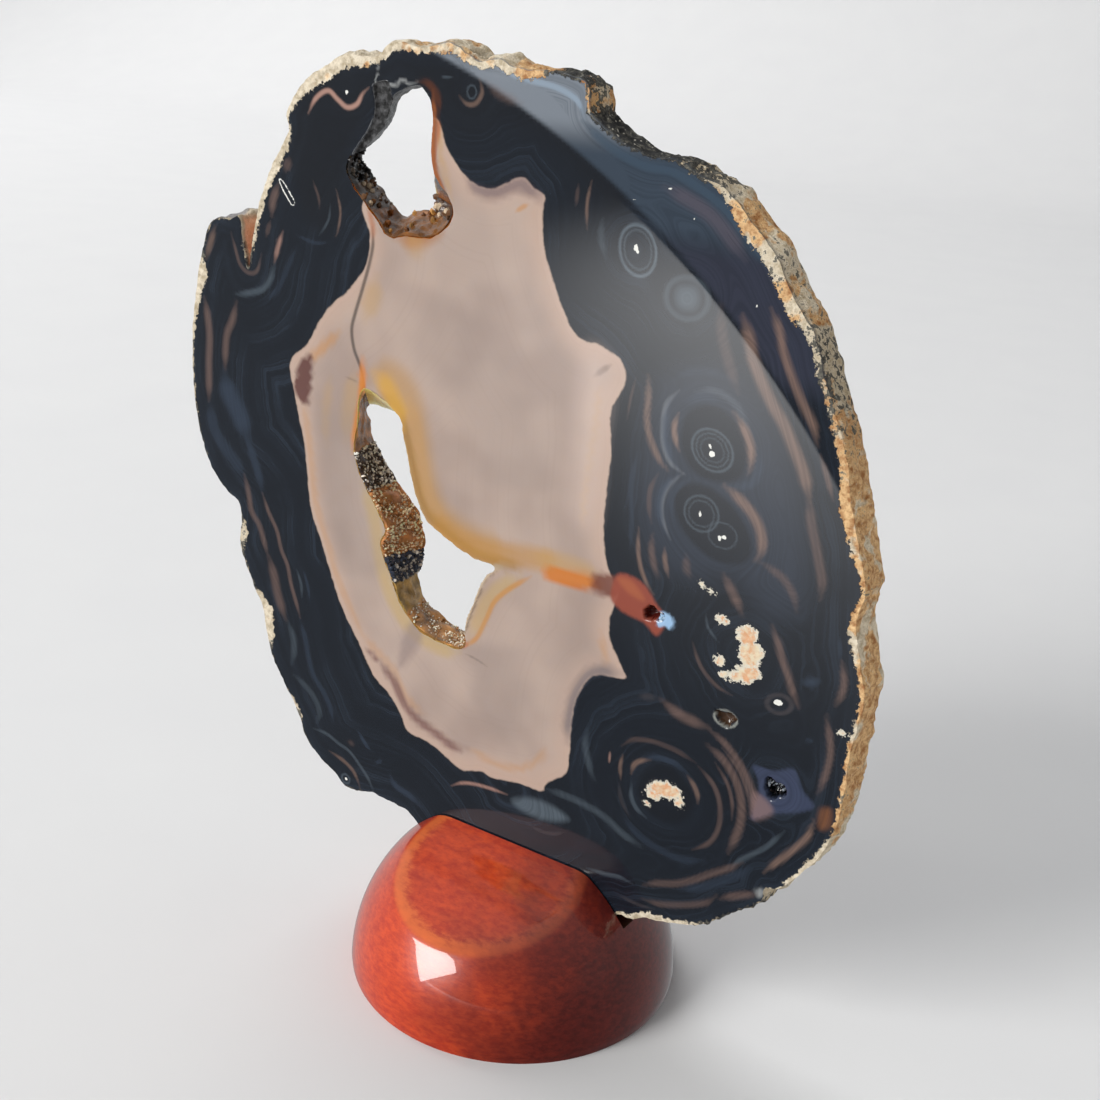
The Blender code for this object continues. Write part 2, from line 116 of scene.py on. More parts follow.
# Places along the rim, clockwise: X, Z, width of the cream rind on the face, and how golden and how dark the
# rough side is there
RIM_TONES = (
    (-50.1, 136.8, 0.9, 0, 0.1), (-47, 141.2, 1.8, 0.1, 0.1), (-42.7, 144, 2.2, 0.3, 0),
    (-38.5, 146, 2, 0.4, 0), (-32.5, 146.4, 1.2, 0.4, 0.2), (-29, 148.5, 1.5, 0.5, 0),
    (-24, 148.2, 0.9, 0.4, 0), (-19, 149, 1.6, 0.5, 0), (-13.8, 146.8, 0.9, 0.3, 0.2),
    (-10.8, 147.4, 1.3, 0.3, 0), (-4, 146.5, 1.4, 0.9, 0.1), (-1.5, 146.7, 0.5, 0.1, 0.9),
    (2, 146, 0.5, 0.2, 0.9), (4.5, 143, 0.7, 1, 0.3), (5.5, 141, 0.3, 0.2, 1), (14.3, 136.9, 0.3, 0.1, 1),
    (20, 136, 0.6, 0.1, 0.75), (24, 134.3, 0.7, 0.2, 0.6), (27.5, 132.5, 1.3, 0.7, 0.2),
    (31, 129, 2.2, 0.6, 0.2), (35, 125, 1.9, 0.4, 0.3), (38, 120, 1.9, 0.8, 0.2),
    (41.5, 115.5, 1, 0.3, 0.5), (44.5, 109, 0.9, 0.3, 0.5), (47, 103, 1.1, 0.9, 0.3),
    (49.8, 95.2, 1.9, 0.8, 0.1), (51.5, 90, 1.4, 0.7, 0.1), (53.2, 84.4, 0.5, 0.9, 0.2),
    (52.8, 79.2, 1.3, 0.6, 0), (54, 74, 1, 0.5, 0.1), (55.4, 68.7, 0.8, 0.9, 0.1),
    (54.8, 60.7, 0.9, 0.8, 0.1), (54.8, 53, 0.8, 0.8, 0.2), (54.2, 46.8, 0.5, 0.6, 0.2),
    (51.6, 40.6, 1, 0.2, 0), (48.4, 36, 0.6, 0.1, 0.1), (45.1, 33.7, 0.1, 0, 0.3),
    (42.7, 29.4, 0.15, 0, 0.8), (36, 23.6, 0.3, 0.1, 0.6), (32, 21.6, 0.9, 0.1, 0),
    (25.8, 20.1, 1.2, 0.2, 0), (22, 18.6, 0.9, 0.1, 0), (18, 16, 0.1, 0, 0.8), (0, 11, 0, 0, 1),
    (-20, 19.9, 0, 0, 1), (-36.4, 21.1, 0.1, 0, 0.9), (-46.4, 29, 0.15, 0.1, 0.8),
    (-48.3, 33.2, 0.9, 0.3, 0.2), (-50.5, 36.5, 0.2, 0.1, 0.8), (-54, 42, 0.2, 0.1, 0.8),
    (-55, 45.5, 2, 0.3, 0.1), (-56, 50.5, 2.2, 0.3, 0.1), (-58, 54.5, 0.4, 0.1, 0.7),
    (-60.6, 60, 0.5, 0.1, 0.7), (-61.3, 64, 2.1, 0.2, 0.2), (-61, 67.5, 0.3, 0.1, 0.8),
    (-64.3, 70.8, 0.2, 0.5, 0.6), (-69.4, 76.8, 0.2, 0, 0.9), (-72, 88, 0.35, 0, 0.6),
    (-72, 98, 0.6, 0, 0.3), (-71, 105, 1.4, 0.1, 0.1), (-70, 109, 2.4, 0.1, 0), (-69, 113, 0.3, 0.1, 0.6),
    (-67, 117.6, 0.2, 0, 0.7), (-62.6, 118.8, 0.1, 0, 0.3), (-60.4, 119.6, 0.1, 0.3, 0),
    (-58.6, 111.6, 0.3, 0, 0.8), (-56.6, 120.4, 1, 0, 0), (-53, 128.5, 1.5, 0, 0), (-50.2, 133, 1.3, 0, 0),
    (-49.6, 134.7, 0.6, 0, 0.3),
)

# Colours of the bands and stains
TAN = (112, 91, 84)
SAND = (136, 110, 97)
ROSE = (186, 146, 132)
SLATE = (52, 63, 79)
STEEL = (92, 104, 114)
SMOKE = (76, 70, 72)
PALE = (196, 200, 200)
DEEP = (21, 24, 30)
AMBER = (190, 134, 68)
HONEY = (186, 150, 96)
RUST = (168, 92, 44)
UMBER = (92, 52, 28)
PLUM = (112, 76, 74)
OLIVE = (188, 160, 106)
SHADE = (150, 136, 130)
INK = (66, 58, 54)

# Share of its strength with which every soft band is laid on
BAND_STRENGTH = 0.8

# Soft bands in the dark stone: colour, strength, half width, and points along the band
BANDS = (
    # The lobe on the left and the long bands below it
    (TAN, 0.85, 0.75, ((-68.9, 104.8), (-68.2, 101.5), (-67.9, 98), (-68.2, 94), (-68.3, 90),
        (-68.4, 86.8))),
    (TAN, 0.8, 0.7, ((-61.4, 105.3), (-62.4, 102), (-63.7, 99.5), (-64.2, 96.5), (-64.4, 93))),
    (SLATE, 0.9, 2, ((-64.6, 92.5), (-63.6, 89), (-61.2, 85.5), (-59.4, 81.5))),
    (SLATE, 0.7, 0.9, ((-59.8, 82), (-58, 78.5), (-56.6, 75), (-56, 72.5))),
    (TAN, 0.8, 0.42, ((-56, 72.5), (-54.5, 69.3), (-52.6, 66.3), (-51.6, 63), (-50.2, 60.5), (-49.3, 57),
        (-48, 53.5), (-47.2, 51.2))),
    (SLATE, 0.6, 1.3, ((-68.3, 86.5), (-67.4, 82), (-64.8, 79), (-61.8, 76.3), (-60, 74))),
    (TAN, 0.8, 0.55, ((-60.2, 75), (-59.2, 71.5), (-58.6, 68.5), (-56.8, 66.3), (-55.5, 63),
        (-54.8, 60.8))),
    (TAN, 0.75, 0.95, ((-54.6, 61), (-53.4, 57.8), (-52.6, 54.5), (-51.4, 51.5), (-50.6, 49.8))),
    (STEEL, 0.45, 0.3, ((-48, 60.3), (-47, 57.6), (-46.8, 55.2))),
    (SLATE, 0.6, 0.3, ((-46.6, 61), (-45.4, 57.6), (-45, 55))),
    (SAND, 0.65, 0.6, ((-66, 117.2), (-67.3, 114), (-68.4, 111.4))),
    (TAN, 0.6, 0.35, ((-62.4, 116.6), (-61.3, 113.6), (-60.4, 111.6), (-58.6, 110.5), (-56.6, 111.2),
        (-55.6, 114))),
    (ROSE, 0.65, 0.45, ((-50.9, 118.3), (-52, 115.6), (-52.8, 113))),
    (STEEL, 0.6, 0.5, ((-52.7, 113.2), (-53.6, 110.4), (-55.4, 108.3), (-58.4, 107.2), (-61.8, 106.4))),
    (SLATE, 0.45, 0.5, ((-47.8, 116.6), (-50.4, 111.8), (-52.4, 108.5), (-55.4, 106.2))),
    (TAN, 0.45, 0.25, ((-44.6, 127), (-43.4, 124.6), (-43.2, 122.8))),
    (STEEL, 0.4, 0.22, ((-41, 124), (-41.3, 121.4), (-43.2, 118.7))),
    (SAND, 0.65, 0.22, ((-39.8, 126.2), (-38.9, 123), (-39.4, 119.9), (-40, 118.9))),
    (SLATE, 0.5, 0.3, ((-41.2, 117.9), (-44.2, 117.4), (-48, 118.1))),
    (TAN, 0.6, 0.75, ((-49.4, 129.9), (-50.4, 127.8))),
    (TAN, 0.9, 0.7, ((-51.7, 125.8), (-53, 123), (-53.3, 120.4))),
    (TAN, 0.45, 0.45, ((-53.6, 119.6), (-54.6, 117))),
    # The wavy line and the small eye beside the upper hollow, and the eye on its other side
    (ROSE, 0.95, 0.38, ((-45.6, 137), (-44, 139.4), (-41.6, 140.7), (-39.7, 139.6), (-37.8, 138.6),
        (-35.9, 139.2), (-34.8, 140.8), (-33.7, 141.7))),
    (SAND, 0.6, 0.35, ((-17, 142), (-15.6, 141), (-14, 141.2), (-13, 142.8), (-13.6, 144.6))),
    (STEEL, 0.5, 0.16, ((-20.5, 144.3), (-18.2, 144.4))),
    (TAN, 0.4, 0.7, ((-12.4, 144.4), (-10, 142.8), (-6, 141.8))),
    # Painted reflection on the ground band: pale blue along its top, then dark blue and purple-grey lower
    # down
    ((140, 156, 172), 0.95, 0.45, ((-10, 145.8), (-5, 145), (-1, 144.4), (2.4, 143), (4, 140.6))),
    ((56, 72, 88), 0.9, 0.7, ((3.6, 140.4), (8.6, 137.4), (13.6, 135.6), (18, 135.2), (22, 133.6),
        (26, 131.4), (29.4, 128.4), (33, 124.6))),
    ((88, 80, 90), 0.7, 1, ((17, 133.2), (22, 131.4), (26, 129), (30, 125.2))),
    # Thin lines left of the hazy eye
    (SAND, 0.65, 0.25, ((6.1, 132.8), (5.6, 129.6), (5.9, 126))),
    (TAN, 0.4, 0.3, ((4, 132), (3.8, 129))),
    (STEEL, 0.35, 0.5, ((8.3, 128), (8.2, 125.4), (9.2, 122.4))),
    # Long bands along the right rim
    (SAND, 0.8, 0.85, ((30.8, 118), (32.2, 115), (33.1, 112.4), (34.6, 109.9), (36.6, 107), (38.6, 104.6),
        (40.4, 101.8), (42.4, 98.4), (43.6, 95))),
    (TAN, 0.65, 0.7, ((43.5, 95.6), (44.3, 92), (45.4, 89), (46.3, 86.4), (47, 84), (47.1, 81.5))),
    (SAND, 0.8, 0.55, ((34.4, 119.6), (36, 117), (37, 114.4), (38, 112.4), (39.4, 110), (41, 107.6),
        (42.8, 105), (43.6, 102.8))),
    (TAN, 0.75, 0.4, ((44.2, 101.6), (45.7, 98.6), (46.9, 95.8))),
    (TAN, 0.4, 0.8, ((27.5, 119), (28.2, 115), (29.8, 111), (31.5, 107.5))),
    # Round the two upper eyes
    ((112, 117, 124), 0.8, 0.4, ((22.6, 106.2), (20.9, 104), (20.6, 101), (21, 98), (22.4, 95.6),
        (24.8, 94.4))),
    ((112, 116, 122), 0.75, 0.35, ((24.6, 94.6), (22.6, 92.4), (21.7, 89.6), (22.1, 86.8), (23.6, 84.2))),
    ((88, 96, 106), 0.5, 0.5, ((25, 106.4), (28, 107.2), (31.4, 105.8), (34, 102.6))),
    (SAND, 0.7, 0.5, ((17.6, 107.5), (17.9, 104), (18, 101), (18.9, 98.2), (20.6, 95.6), (22.2, 94.3))),
    (TAN, 0.45, 0.2, ((15.7, 106.8), (15.1, 103.6), (14.8, 100.4))),
    (SLATE, 0.9, 0.6, ((21.3, 104.5), (21, 101.5), (21.3, 98.8), (22.4, 96.4), (23.8, 94.9))),
    (SAND, 0.9, 0.45, ((22.9, 103), (22.4, 101), (22.9, 98.8), (23.6, 97.6))),
    (SAND, 0.95, 0.6, ((31.2, 104.8), (33, 102.8), (34.2, 100.6), (34.6, 98.4), (34.4, 96.8))),
    (SLATE, 0.8, 0.6, ((35.6, 100.5), (35.9, 97.9), (35.2, 95.6), (33.4, 94.6), (31.4, 94.2))),
    (SLATE, 0.6, 0.7, ((23.6, 104.6), (26.5, 106), (29.6, 105.6))),
    (SLATE, 0.4, 0.5, ((21.5, 107.5), (24.5, 109.3), (28.5, 109.5), (31.5, 108.3))),
    (SLATE, 0.9, 0.6, ((24, 94.2), (22, 92.2), (21.2, 89.8), (21.5, 87.4), (22.6, 85))),
    (SLATE, 0.6, 0.4, ((25.8, 94), (23.9, 92.2), (23.1, 90), (23.6, 87.3))),
    (TAN, 0.5, 0.4, ((20.6, 93.6), (19.6, 91), (19.7, 88), (20.3, 85.9))),
    (SAND, 0.85, 0.75, ((31, 94.2), (33.4, 92.9), (35.8, 91), (37.3, 88.7), (37.7, 86.3), (37, 84.6))),
    (TAN, 0.55, 0.6, ((37.6, 84.6), (39.6, 83.9), (41.6, 82.9), (43.3, 80.8), (44, 78.6))),
    (SAND, 0.75, 0.35, ((18.3, 84.8), (18.5, 81.6), (19.2, 78.8), (20.4, 76.6), (21.8, 75.1))),
    (TAN, 0.75, 0.5, ((20.6, 84.4), (20.7, 82), (21.3, 79.8), (22.3, 77.8))),
    (SAND, 0.7, 0.4, ((22.8, 82.8), (23.1, 80.6), (23.9, 78.5))),
    (SLATE, 0.5, 0.4, ((17, 96), (16.4, 91), (17, 86), (17.2, 81))),
    # Round the cream blotches
    (TAN, 0.5, 0.6, ((26.4, 82.6), (26.6, 80.6), (27.4, 79.4))),
    (TAN, 0.85, 0.7, ((32.4, 81.4), (33.8, 79.4), (35.2, 77.4), (36, 76))),
    (TAN, 0.9, 0.55, ((40.6, 75.8), (42, 73.2), (42.9, 71), (44.2, 68.6), (45.3, 66.2), (46.4, 64.6))),
    (TAN, 0.6, 0.3, ((28.8, 69.6), (29.9, 67.2), (31.4, 65.3), (33.6, 63.8), (36, 63.2))),
    (STEEL, 0.5, 0.2, ((30.4, 74.6), (31, 72.6), (32.8, 70.8))),
    (SLATE, 0.9, 1.3, ((47.2, 69.8), (47.8, 68.4))),
    (SLATE, 0.5, 0.6, ((48.3, 60.5), (48.6, 59.8))),
    (TAN, 0.85, 0.5, ((51.4, 73.6), (52.2, 70.6), (52, 68.2), (51.3, 66.6))),
    (TAN, 0.85, 0.5, ((50.4, 64.8), (51.2, 62.2), (51.8, 59.4), (51.7, 56.6), (51.2, 53.8), (50.9, 52.2))),
    (SLATE, 0.5, 0.3, ((50.6, 77), (51.2, 73.6))),
    # The lower right corner
    (SAND, 0.8, 0.5, ((50.9, 48), (50.4, 45.2), (49, 42.8), (47.5, 40.6), (46, 38.6), (44.4, 36.4))),
    (STEEL, 0.5, 0.4, ((46.8, 44.6), (44.6, 41.2), (42.4, 38.8), (40.4, 36.8), (38.8, 34.8))),
    (TAN, 0.65, 0.55, ((41, 36.8), (38.6, 34.6), (36, 32.6), (33.6, 30.6), (30.6, 28.6), (27.2, 27.2),
        (24.8, 25.8))),
    (SLATE, 0.6, 0.7, ((42.4, 36.4), (39, 33), (35, 29.8), (31, 27.6))),
    (TAN, 0.75, 0.6, ((44.4, 32.6), (42, 31.4), (39.6, 30), (38, 28.9))),
    (TAN, 0.6, 0.5, ((37.4, 29.4), (36.2, 27.6), (34, 26.2), (31, 24.8), (27.6, 23.6), (25, 23.4))),
    (PALE, 0.5, 0.9, ((45, 32.6), (43.6, 32.9))),
    (STEEL, 0.6, 0.35, ((14.6, 24.8), (17.6, 25), (20.6, 25.6), (23, 25.3))),
    (SMOKE, 0.6, 0.3, ((20.6, 22.3), (24, 22), (27.4, 22.4))),
    # Round the large eye
    (SAND, 0.75, 0.4, ((20.9, 44.6), (21.3, 46.4), (22.6, 47.6), (24, 48.2))),
    (SLATE, 0.8, 0.5, ((22.6, 48), (25, 49), (28, 49.1), (30.4, 48.2))),
    (SAND, 0.7, 0.4, ((30.4, 47.8), (31.6, 46.6), (32.4, 45.2), (32.6, 43.8))),
    (STEEL, 0.6, 0.35, ((21.2, 43), (21.3, 40.8), (22.4, 39), (24.2, 38))),
    (SAND, 0.7, 0.3, ((19.2, 47.4), (18.9, 45.2), (19.2, 43))),
    (SMOKE, 0.5, 0.35, ((19, 42.5), (19.6, 39.6), (21.4, 37))),
    (ROSE, 0.7, 0.18, ((16.9, 47.2), (16.9, 45))),
    (STEEL, 0.45, 0.55, ((12.6, 49.6), (12.4, 46.6), (13.4, 43.4), (14.6, 41))),
    (TAN, 0.45, 0.4, ((18.8, 48.8), (20.8, 50.6), (24, 51.4), (28, 51.3), (31.5, 50.4))),
    (TAN, 0.6, 0.4, ((32, 50), (34.6, 48), (36, 45.6), (36.5, 42.8), (36.2, 40), (35, 37.6), (32.6, 35.6))),
    (TAN, 0.6, 0.3, ((34.6, 51.6), (37, 48.8), (38.1, 46), (38.4, 43))),
    (TAN, 0.8, 0.65, ((33, 54), (36, 52.4), (38.4, 49.6), (39.6, 46.4), (39.8, 43), (39.2, 40),
        (38.4, 37.4))),
    (TAN, 0.65, 0.28, ((35.4, 54.4), (38.2, 52), (40, 49.2), (40.8, 46.4))),
    (TAN, 0.9, 0.85, ((24.8, 58.8), (27.6, 57.5), (30.6, 57), (33, 56.8))),
    (TAN, 0.8, 0.55, ((33, 56.6), (35.8, 55.2), (38.4, 52.9), (40.4, 50.2), (41.4, 47.6), (41.4, 45))),
    (SMOKE, 0.5, 0.5, ((21, 58.2), (24, 58.8))),
    (STEEL, 0.45, 0.6, ((5.8, 36.2), (9.4, 36.4), (13.4, 36.1), (17, 35.3), (20.4, 33.6), (24, 32.6))),
    (SLATE, 0.5, 0.6, ((20, 37), (23, 34.6), (27, 33.4), (31, 33.2), (35, 34.6))),
    (SMOKE, 0.5, 0.3, ((2.4, 28.6), (5.6, 28.1), (8.6, 28.9), (10.6, 30.4))),
    (ROSE, 0.75, 0.32, ((-13, 29.8), (-11, 31.1), (-8.4, 31.9), (-5, 32.3), (-1.6, 32.4))),
    # The lower left
    (STEEL, 0.4, 0.7, ((-50.4, 50), (-48.9, 47), (-48.7, 44), (-49.3, 41.4))),
    (SLATE, 0.6, 0.6, ((-47.3, 51), (-46, 47.6), (-45.2, 44), (-44, 40.8), (-41.6, 38.2), (-40, 35.6),
        (-39.4, 32.8))),
    (STEEL, 0.35, 0.6, ((-49, 39.6), (-46, 38.2), (-43.6, 36.2), (-42.6, 33.8), (-43.4, 31.6))),
    (STEEL, 0.5, 0.32, ((-44.2, 30.2), (-41, 30.2), (-38, 29.2), (-35.4, 28.4), (-33, 26.4), (-31.2, 24.6),
        (-29.8, 22.4))),
    (SAND, 0.6, 0.38, ((-40.2, 26.9), (-37.2, 26.2), (-34.8, 25), (-33.6, 23.4), (-33, 22))),
    (SLATE, 0.8, 0.4, ((-33.6, 33.2), (-31.8, 31.2), (-30.6, 30.4))),
    (SLATE, 0.9, 0.6, ((-26.4, 27.4), (-25, 25.4), (-22, 24.6), (-19.2, 23.2))),
    (SLATE, 0.5, 0.4, ((-29.6, 28.2), (-28, 29.4))),
    (TAN, 0.35, 0.5, ((-36, 30.4), (-34.4, 30.2))),
)

# Stains in the pale middle: colour, strength, half width, and points along the stain
STAINS = (
    # Yellow-brown along the right and upper side of the middle hollow
    ((176, 134, 74), 0.72, 3.2, ((-32, 97.6), (-28, 98), (-25, 95.6), (-23.6, 91), (-22.4, 86), (-20.8, 81),
        (-18.4, 77.6), (-14, 75.4), (-9, 74.4), (-4, 75))),
    ((146, 112, 60), 0.9, 1, ((-30.6, 95.8), (-26.8, 93.6), (-24.6, 88.8), (-22.6, 82.4), (-20.2, 77.8),
        (-15.6, 75), (-10.6, 73.2), (-6.6, 72.8), (-1, 73.4))),
    ((196, 150, 84), 0.35, 1.6, ((-24.6, 96), (-23, 91), (-21.6, 85.6), (-19.8, 80), (-16, 77.2))),
    ((182, 134, 66), 0.75, 2, ((-20, 77.4), (-14, 75), (-8, 74.2), (-3, 74.8), (2, 75.4), (6, 75.2))),
    ((204, 158, 72), 0.95, 1.8, ((-31.8, 98.8), (-29, 96.8), (-26.6, 93.6), (-25.4, 90.6))),
    (HONEY, 0.7, 1.7, ((0, 75.4), (5, 75.8), (9, 75.6), (13, 74.6))),
    (RUST, 0.85, 0.55, ((4.4, 73), (7.6, 72.9), (11.2, 73))),
    # The pale strip and orange line right of the middle hollow
    (OLIVE, 0.7, 1.3, ((-1.6, 71.6), (-5.4, 68.6), (-7.8, 65.4), (-9.2, 61.6), (-10.8, 58.4))),
    (AMBER, 0.9, 0.45, ((0.4, 72.2), (-3.6, 68.9), (-6.2, 66), (-7.6, 62.6), (-9.4, 58.6), (-12, 56.2))),
    (RUST, 0.8, 0.5, ((-10.8, 57.6), (-12.4, 55.9))),
    # Olive halo left of and below it
    (OLIVE, 0.75, 1.5, ((-33.6, 79.6), (-31.4, 75.4), (-30.2, 70.4), (-29.2, 66), (-26.6, 60.4),
        (-22.6, 56.4), (-17, 54.8), (-12.6, 55.2))),
    # Left of it, along the fissure
    (AMBER, 0.85, 0.6, ((-34.4, 99), (-34, 95), (-34.6, 91), (-35.6, 86.8))),
    (HONEY, 0.5, 1.6, ((-35.6, 98), (-36.6, 92), (-37.2, 86))),
    (HONEY, 0.55, 1.8, ((-31.4, 114), (-32.4, 110), (-33.8, 106.6))),
    (AMBER, 0.65, 0.8, ((-38.4, 104.4), (-41.6, 101.4), (-44.2, 99), (-45.9, 97.4))),
    (AMBER, 0.35, 0.7, ((-46.6, 91), (-45.6, 86.6), (-44.6, 80), (-43.6, 73.4), (-41.2, 67.6), (-38.6, 61),
        (-35.8, 56.4), (-32.8, 52))),
    (HONEY, 0.35, 0.9, ((-40.6, 96.4), (-41.6, 90), (-41.4, 84))),
    (AMBER, 0.35, 0.8, ((-33.4, 52.2), (-30, 50.2), (-26, 47.6), (-23, 43.4), (-19, 41.2))),
    (AMBER, 0.4, 0.6, ((-10, 38.4), (-5, 37.4), (0, 38), (3.6, 40.6), (6, 44.4))),
    # The right side of the pale middle
    (HONEY, 0.4, 0.5, ((9.8, 105), (9.6, 98), (9, 91), (8.7, 82))),
    (AMBER, 0.4, 0.6, ((13.4, 66.6), (14.4, 63.6), (14.8, 61))),
    # Amber under the upper hollow and the brown wall that shows right of it
    ((170, 108, 48), 0.9, 1.9, ((-28, 120.6), (-24.4, 121), (-21, 122.6), (-18.8, 125))),
    (UMBER, 0.85, 0.8, ((-29, 121.4), (-25.6, 121.8), (-22, 122.8), (-19.4, 124.4))),
    (HONEY, 0.4, 2, ((-26, 119.4), (-22, 119.8))),
    (UMBER, 0.9, 0.55, ((-21.2, 142.2), (-21.1, 138), (-21.3, 134), (-20.8, 131), (-19.2, 128.2),
        (-18, 126.2))),
    (RUST, 0.9, 0.4, ((-21.9, 142.4), (-20.7, 140), (-20.4, 137), (-20.8, 133.4))),
    (HONEY, 0.5, 0.5, ((-20, 138), (-19.8, 133), (-18.4, 129.4), (-17.4, 127.2))),
    (RUST, 0.7, 0.5, ((-33.6, 124.6), (-32.4, 121.6), (-32.4, 118.8))),
    # Purple-brown streaks
    (PLUM, 0.95, 0.5, ((-32.4, 49.8), (-28.6, 47.9))),
    (PLUM, 0.95, 0.85, ((-29.6, 48.4), (-26, 45.6), (-23.4, 41.8), (-20.2, 39.8), (-16.4, 38.6),
        (-12.8, 37.4), (-10.2, 37.9))),
    # The fissure, a small dark mark, a tan dash and a thin line
    (INK, 0.95, 0.34, ((-32.5, 121.4), (-32.3, 118.8), (-33, 115.5), (-34.3, 111.4), (-35.6, 107.6),
        (-36.3, 104.8), (-35.8, 101.8), (-34.6, 99.4), (-33.7, 97))),
    (RUST, 0.8, 0.3, ((-33.9, 98.2), (-33.5, 95), (-33.8, 91.6))),
    (INK, 0.7, 0.45, ((8.8, 105.6), (10.1, 106.7), (11.5, 107.8))),
    (AMBER, 0.7, 0.35, ((-6.3, 126.9), (-5, 127.8), (-4, 128.3))),
    (INK, 0.5, 0.2, ((-11.6, 55.3), (-9, 54.9), (-6.6, 54.2))),
    (INK, 0.35, 0.2, ((-37.6, 96.8), (-34.6, 96.4))),
    # Soft dark fringes where the dark stone lies under the pale edge
    ((86, 72, 84), 0.75, 1.3, ((-15.6, 131.6), (-13.2, 129.9), (-10.2, 129.5), (-6.4, 131), (-3, 130.2),
        (-1.6, 128.6))),
    ((72, 76, 90), 0.75, 1.4, ((9.2, 46), (9.6, 50.4), (10.4, 54.9), (13, 59.2), (17.8, 61))),
    # Painted shade: soft darker zones across the pale middle
    (SHADE, 0.3, 6, ((-22, 118), (-8, 122))),
    (SHADE, 0.4, 7, ((-24, 108), (-14, 104), (-6, 94), (-4, 84))),
    (SHADE, 0.45, 5, ((-38, 92), (-37, 76), (-32, 62))),
    (SHADE, 0.5, 6, ((-6, 60), (-4, 50), (-8, 44))),
)

# Rings round the eyes: colour, strength, half width, centre in X and Z, half sizes in X and Z, tilt in
# degrees
RINGS = (
    (STEEL, 0.75, 0.2, 14.2, 124.3, 2.8, 3.5, 20),
    (STEEL, 0.45, 0.12, 14.2, 124.4, 2.1, 2.7, 20),
    (STEEL, 0.3, 0.4, 22.4, 119, 3.2, 2.8, 0),
    (STEEL, 0.5, 0.16, 28.6, 98.8, 3.3, 2.8, -30),
    (STEEL, 0.4, 0.1, 28.6, 98.8, 2.6, 2.2, -30),
    (STEEL, 0.3, 0.1, 28.6, 98.8, 1.9, 1.6, -30),
    (STEEL, 0.45, 0.14, 28, 89.3, 2.7, 2.6, -20),
    (STEEL, 0.35, 0.1, 28, 89.3, 2, 1.9, -20),
    (STEEL, 0.35, 0.1, 31.6, 86.9, 2.2, 1.9, 0),
    (STEEL, 0.4, 0.12, -14.8, 142.7, 0.8, 0.9, 0),
    (STEEL, 0.5, 0.16, -36.3, 22.6, 0.9, 0.9, 0),
    ((150, 152, 146), 0.85, 0.14, 35.4, 59.2, 1.8, 1.3, 0),
    (SMOKE, 0.5, 0.3, 43.3, 64.2, 1.9, 1.4, 20),
)

# The red-orange patch between the pale middle and the cavity right of it
RED_PATCH = (
    (15.4, 76.6), (18, 77), (20.4, 76), (22.4, 73.8), (24.2, 72), (23.6, 69.6), (22.6, 68.8), (20.6, 70.2),
    (18.2, 70.6), (16.2, 71.2), (14.6, 72.8),
)

# Filled patches with soft edges: colour, strength, edge softness, corner points
PATCHES = (
    # Painted reflection: a lighter stripe down the right of the pale middle
    ((214, 192, 181), 0.45, 3, ((7, 108), (11, 107), (10.6, 96), (10.4, 84), (7.4, 84), (6.6, 96))),
    ((100, 66, 62), 0.95, 0.25, ((-47, 97.6), (-44.6, 98.6), (-45.5, 90.7), (-48.5, 92.7))),
    ((146, 130, 126), 0.7, 0.8, ((-20.4, 58.5), (-22.9, 57.2), (-24.6, 53), (-24.9, 48.4), (-22.2, 51.6),
        (-20.4, 55))),
    # Painted reflection: the pale blue-grey patch just above the stand
    (STEEL, 0.75, 0.7, ((-0.6, 31.8), (3, 33.5), (7.2, 33.6), (10.4, 32.4), (8, 31), (4.6, 30.3),
        (1, 30.6))),
    ((60, 68, 92), 0.85, 0.25, ((40.6, 53.2), (44, 53.6), (46.9, 54.9), (48.4, 52.2), (50.6, 50.2),
        (48.6, 48.4), (44.6, 46.6), (41.4, 44.4), (42, 48.4), (41.6, 51.4))),
    ((130, 106, 104), 0.7, 0.6, ((41.2, 49), (44, 48), (44.4, 46.4), (41.6, 44.6))),
    ((120, 78, 52), 0.8, 0.6, ((51.6, 50), (53.2, 50.6), (53.4, 47.8), (51.8, 47))),
    ((198, 118, 44), 0.9, 0.4, ((3.4, 74.6), (11.7, 75.2), (12.1, 73.2), (3.6, 72.4))),
    ((112, 64, 52), 0.9, 0.5, ((11.5, 75.6), (15.8, 76), (15.8, 73.2), (11.8, 72.8))),
    ((84, 96, 106), 0.6, 0.8, ((21.2, 120.4), (23.4, 120.6), (24.2, 119), (23.4, 117.6), (21.4, 117.6),
        (20.6, 119))),
    ((142, 70, 54), 0.93, 0.35, RED_PATCH),
    ((172, 98, 62), 0.5, 0.5, ((15.6, 76), (18, 76.2), (20.4, 73.8), (17.6, 74.2))),
    ((150, 184, 218), 0.95, 0.2, ((22.6, 72), (23.4, 72.9), (24.9, 72.6), (25.6, 71.5), (24.9, 70.4),
        (24.1, 70.7), (23, 70.3))),
)

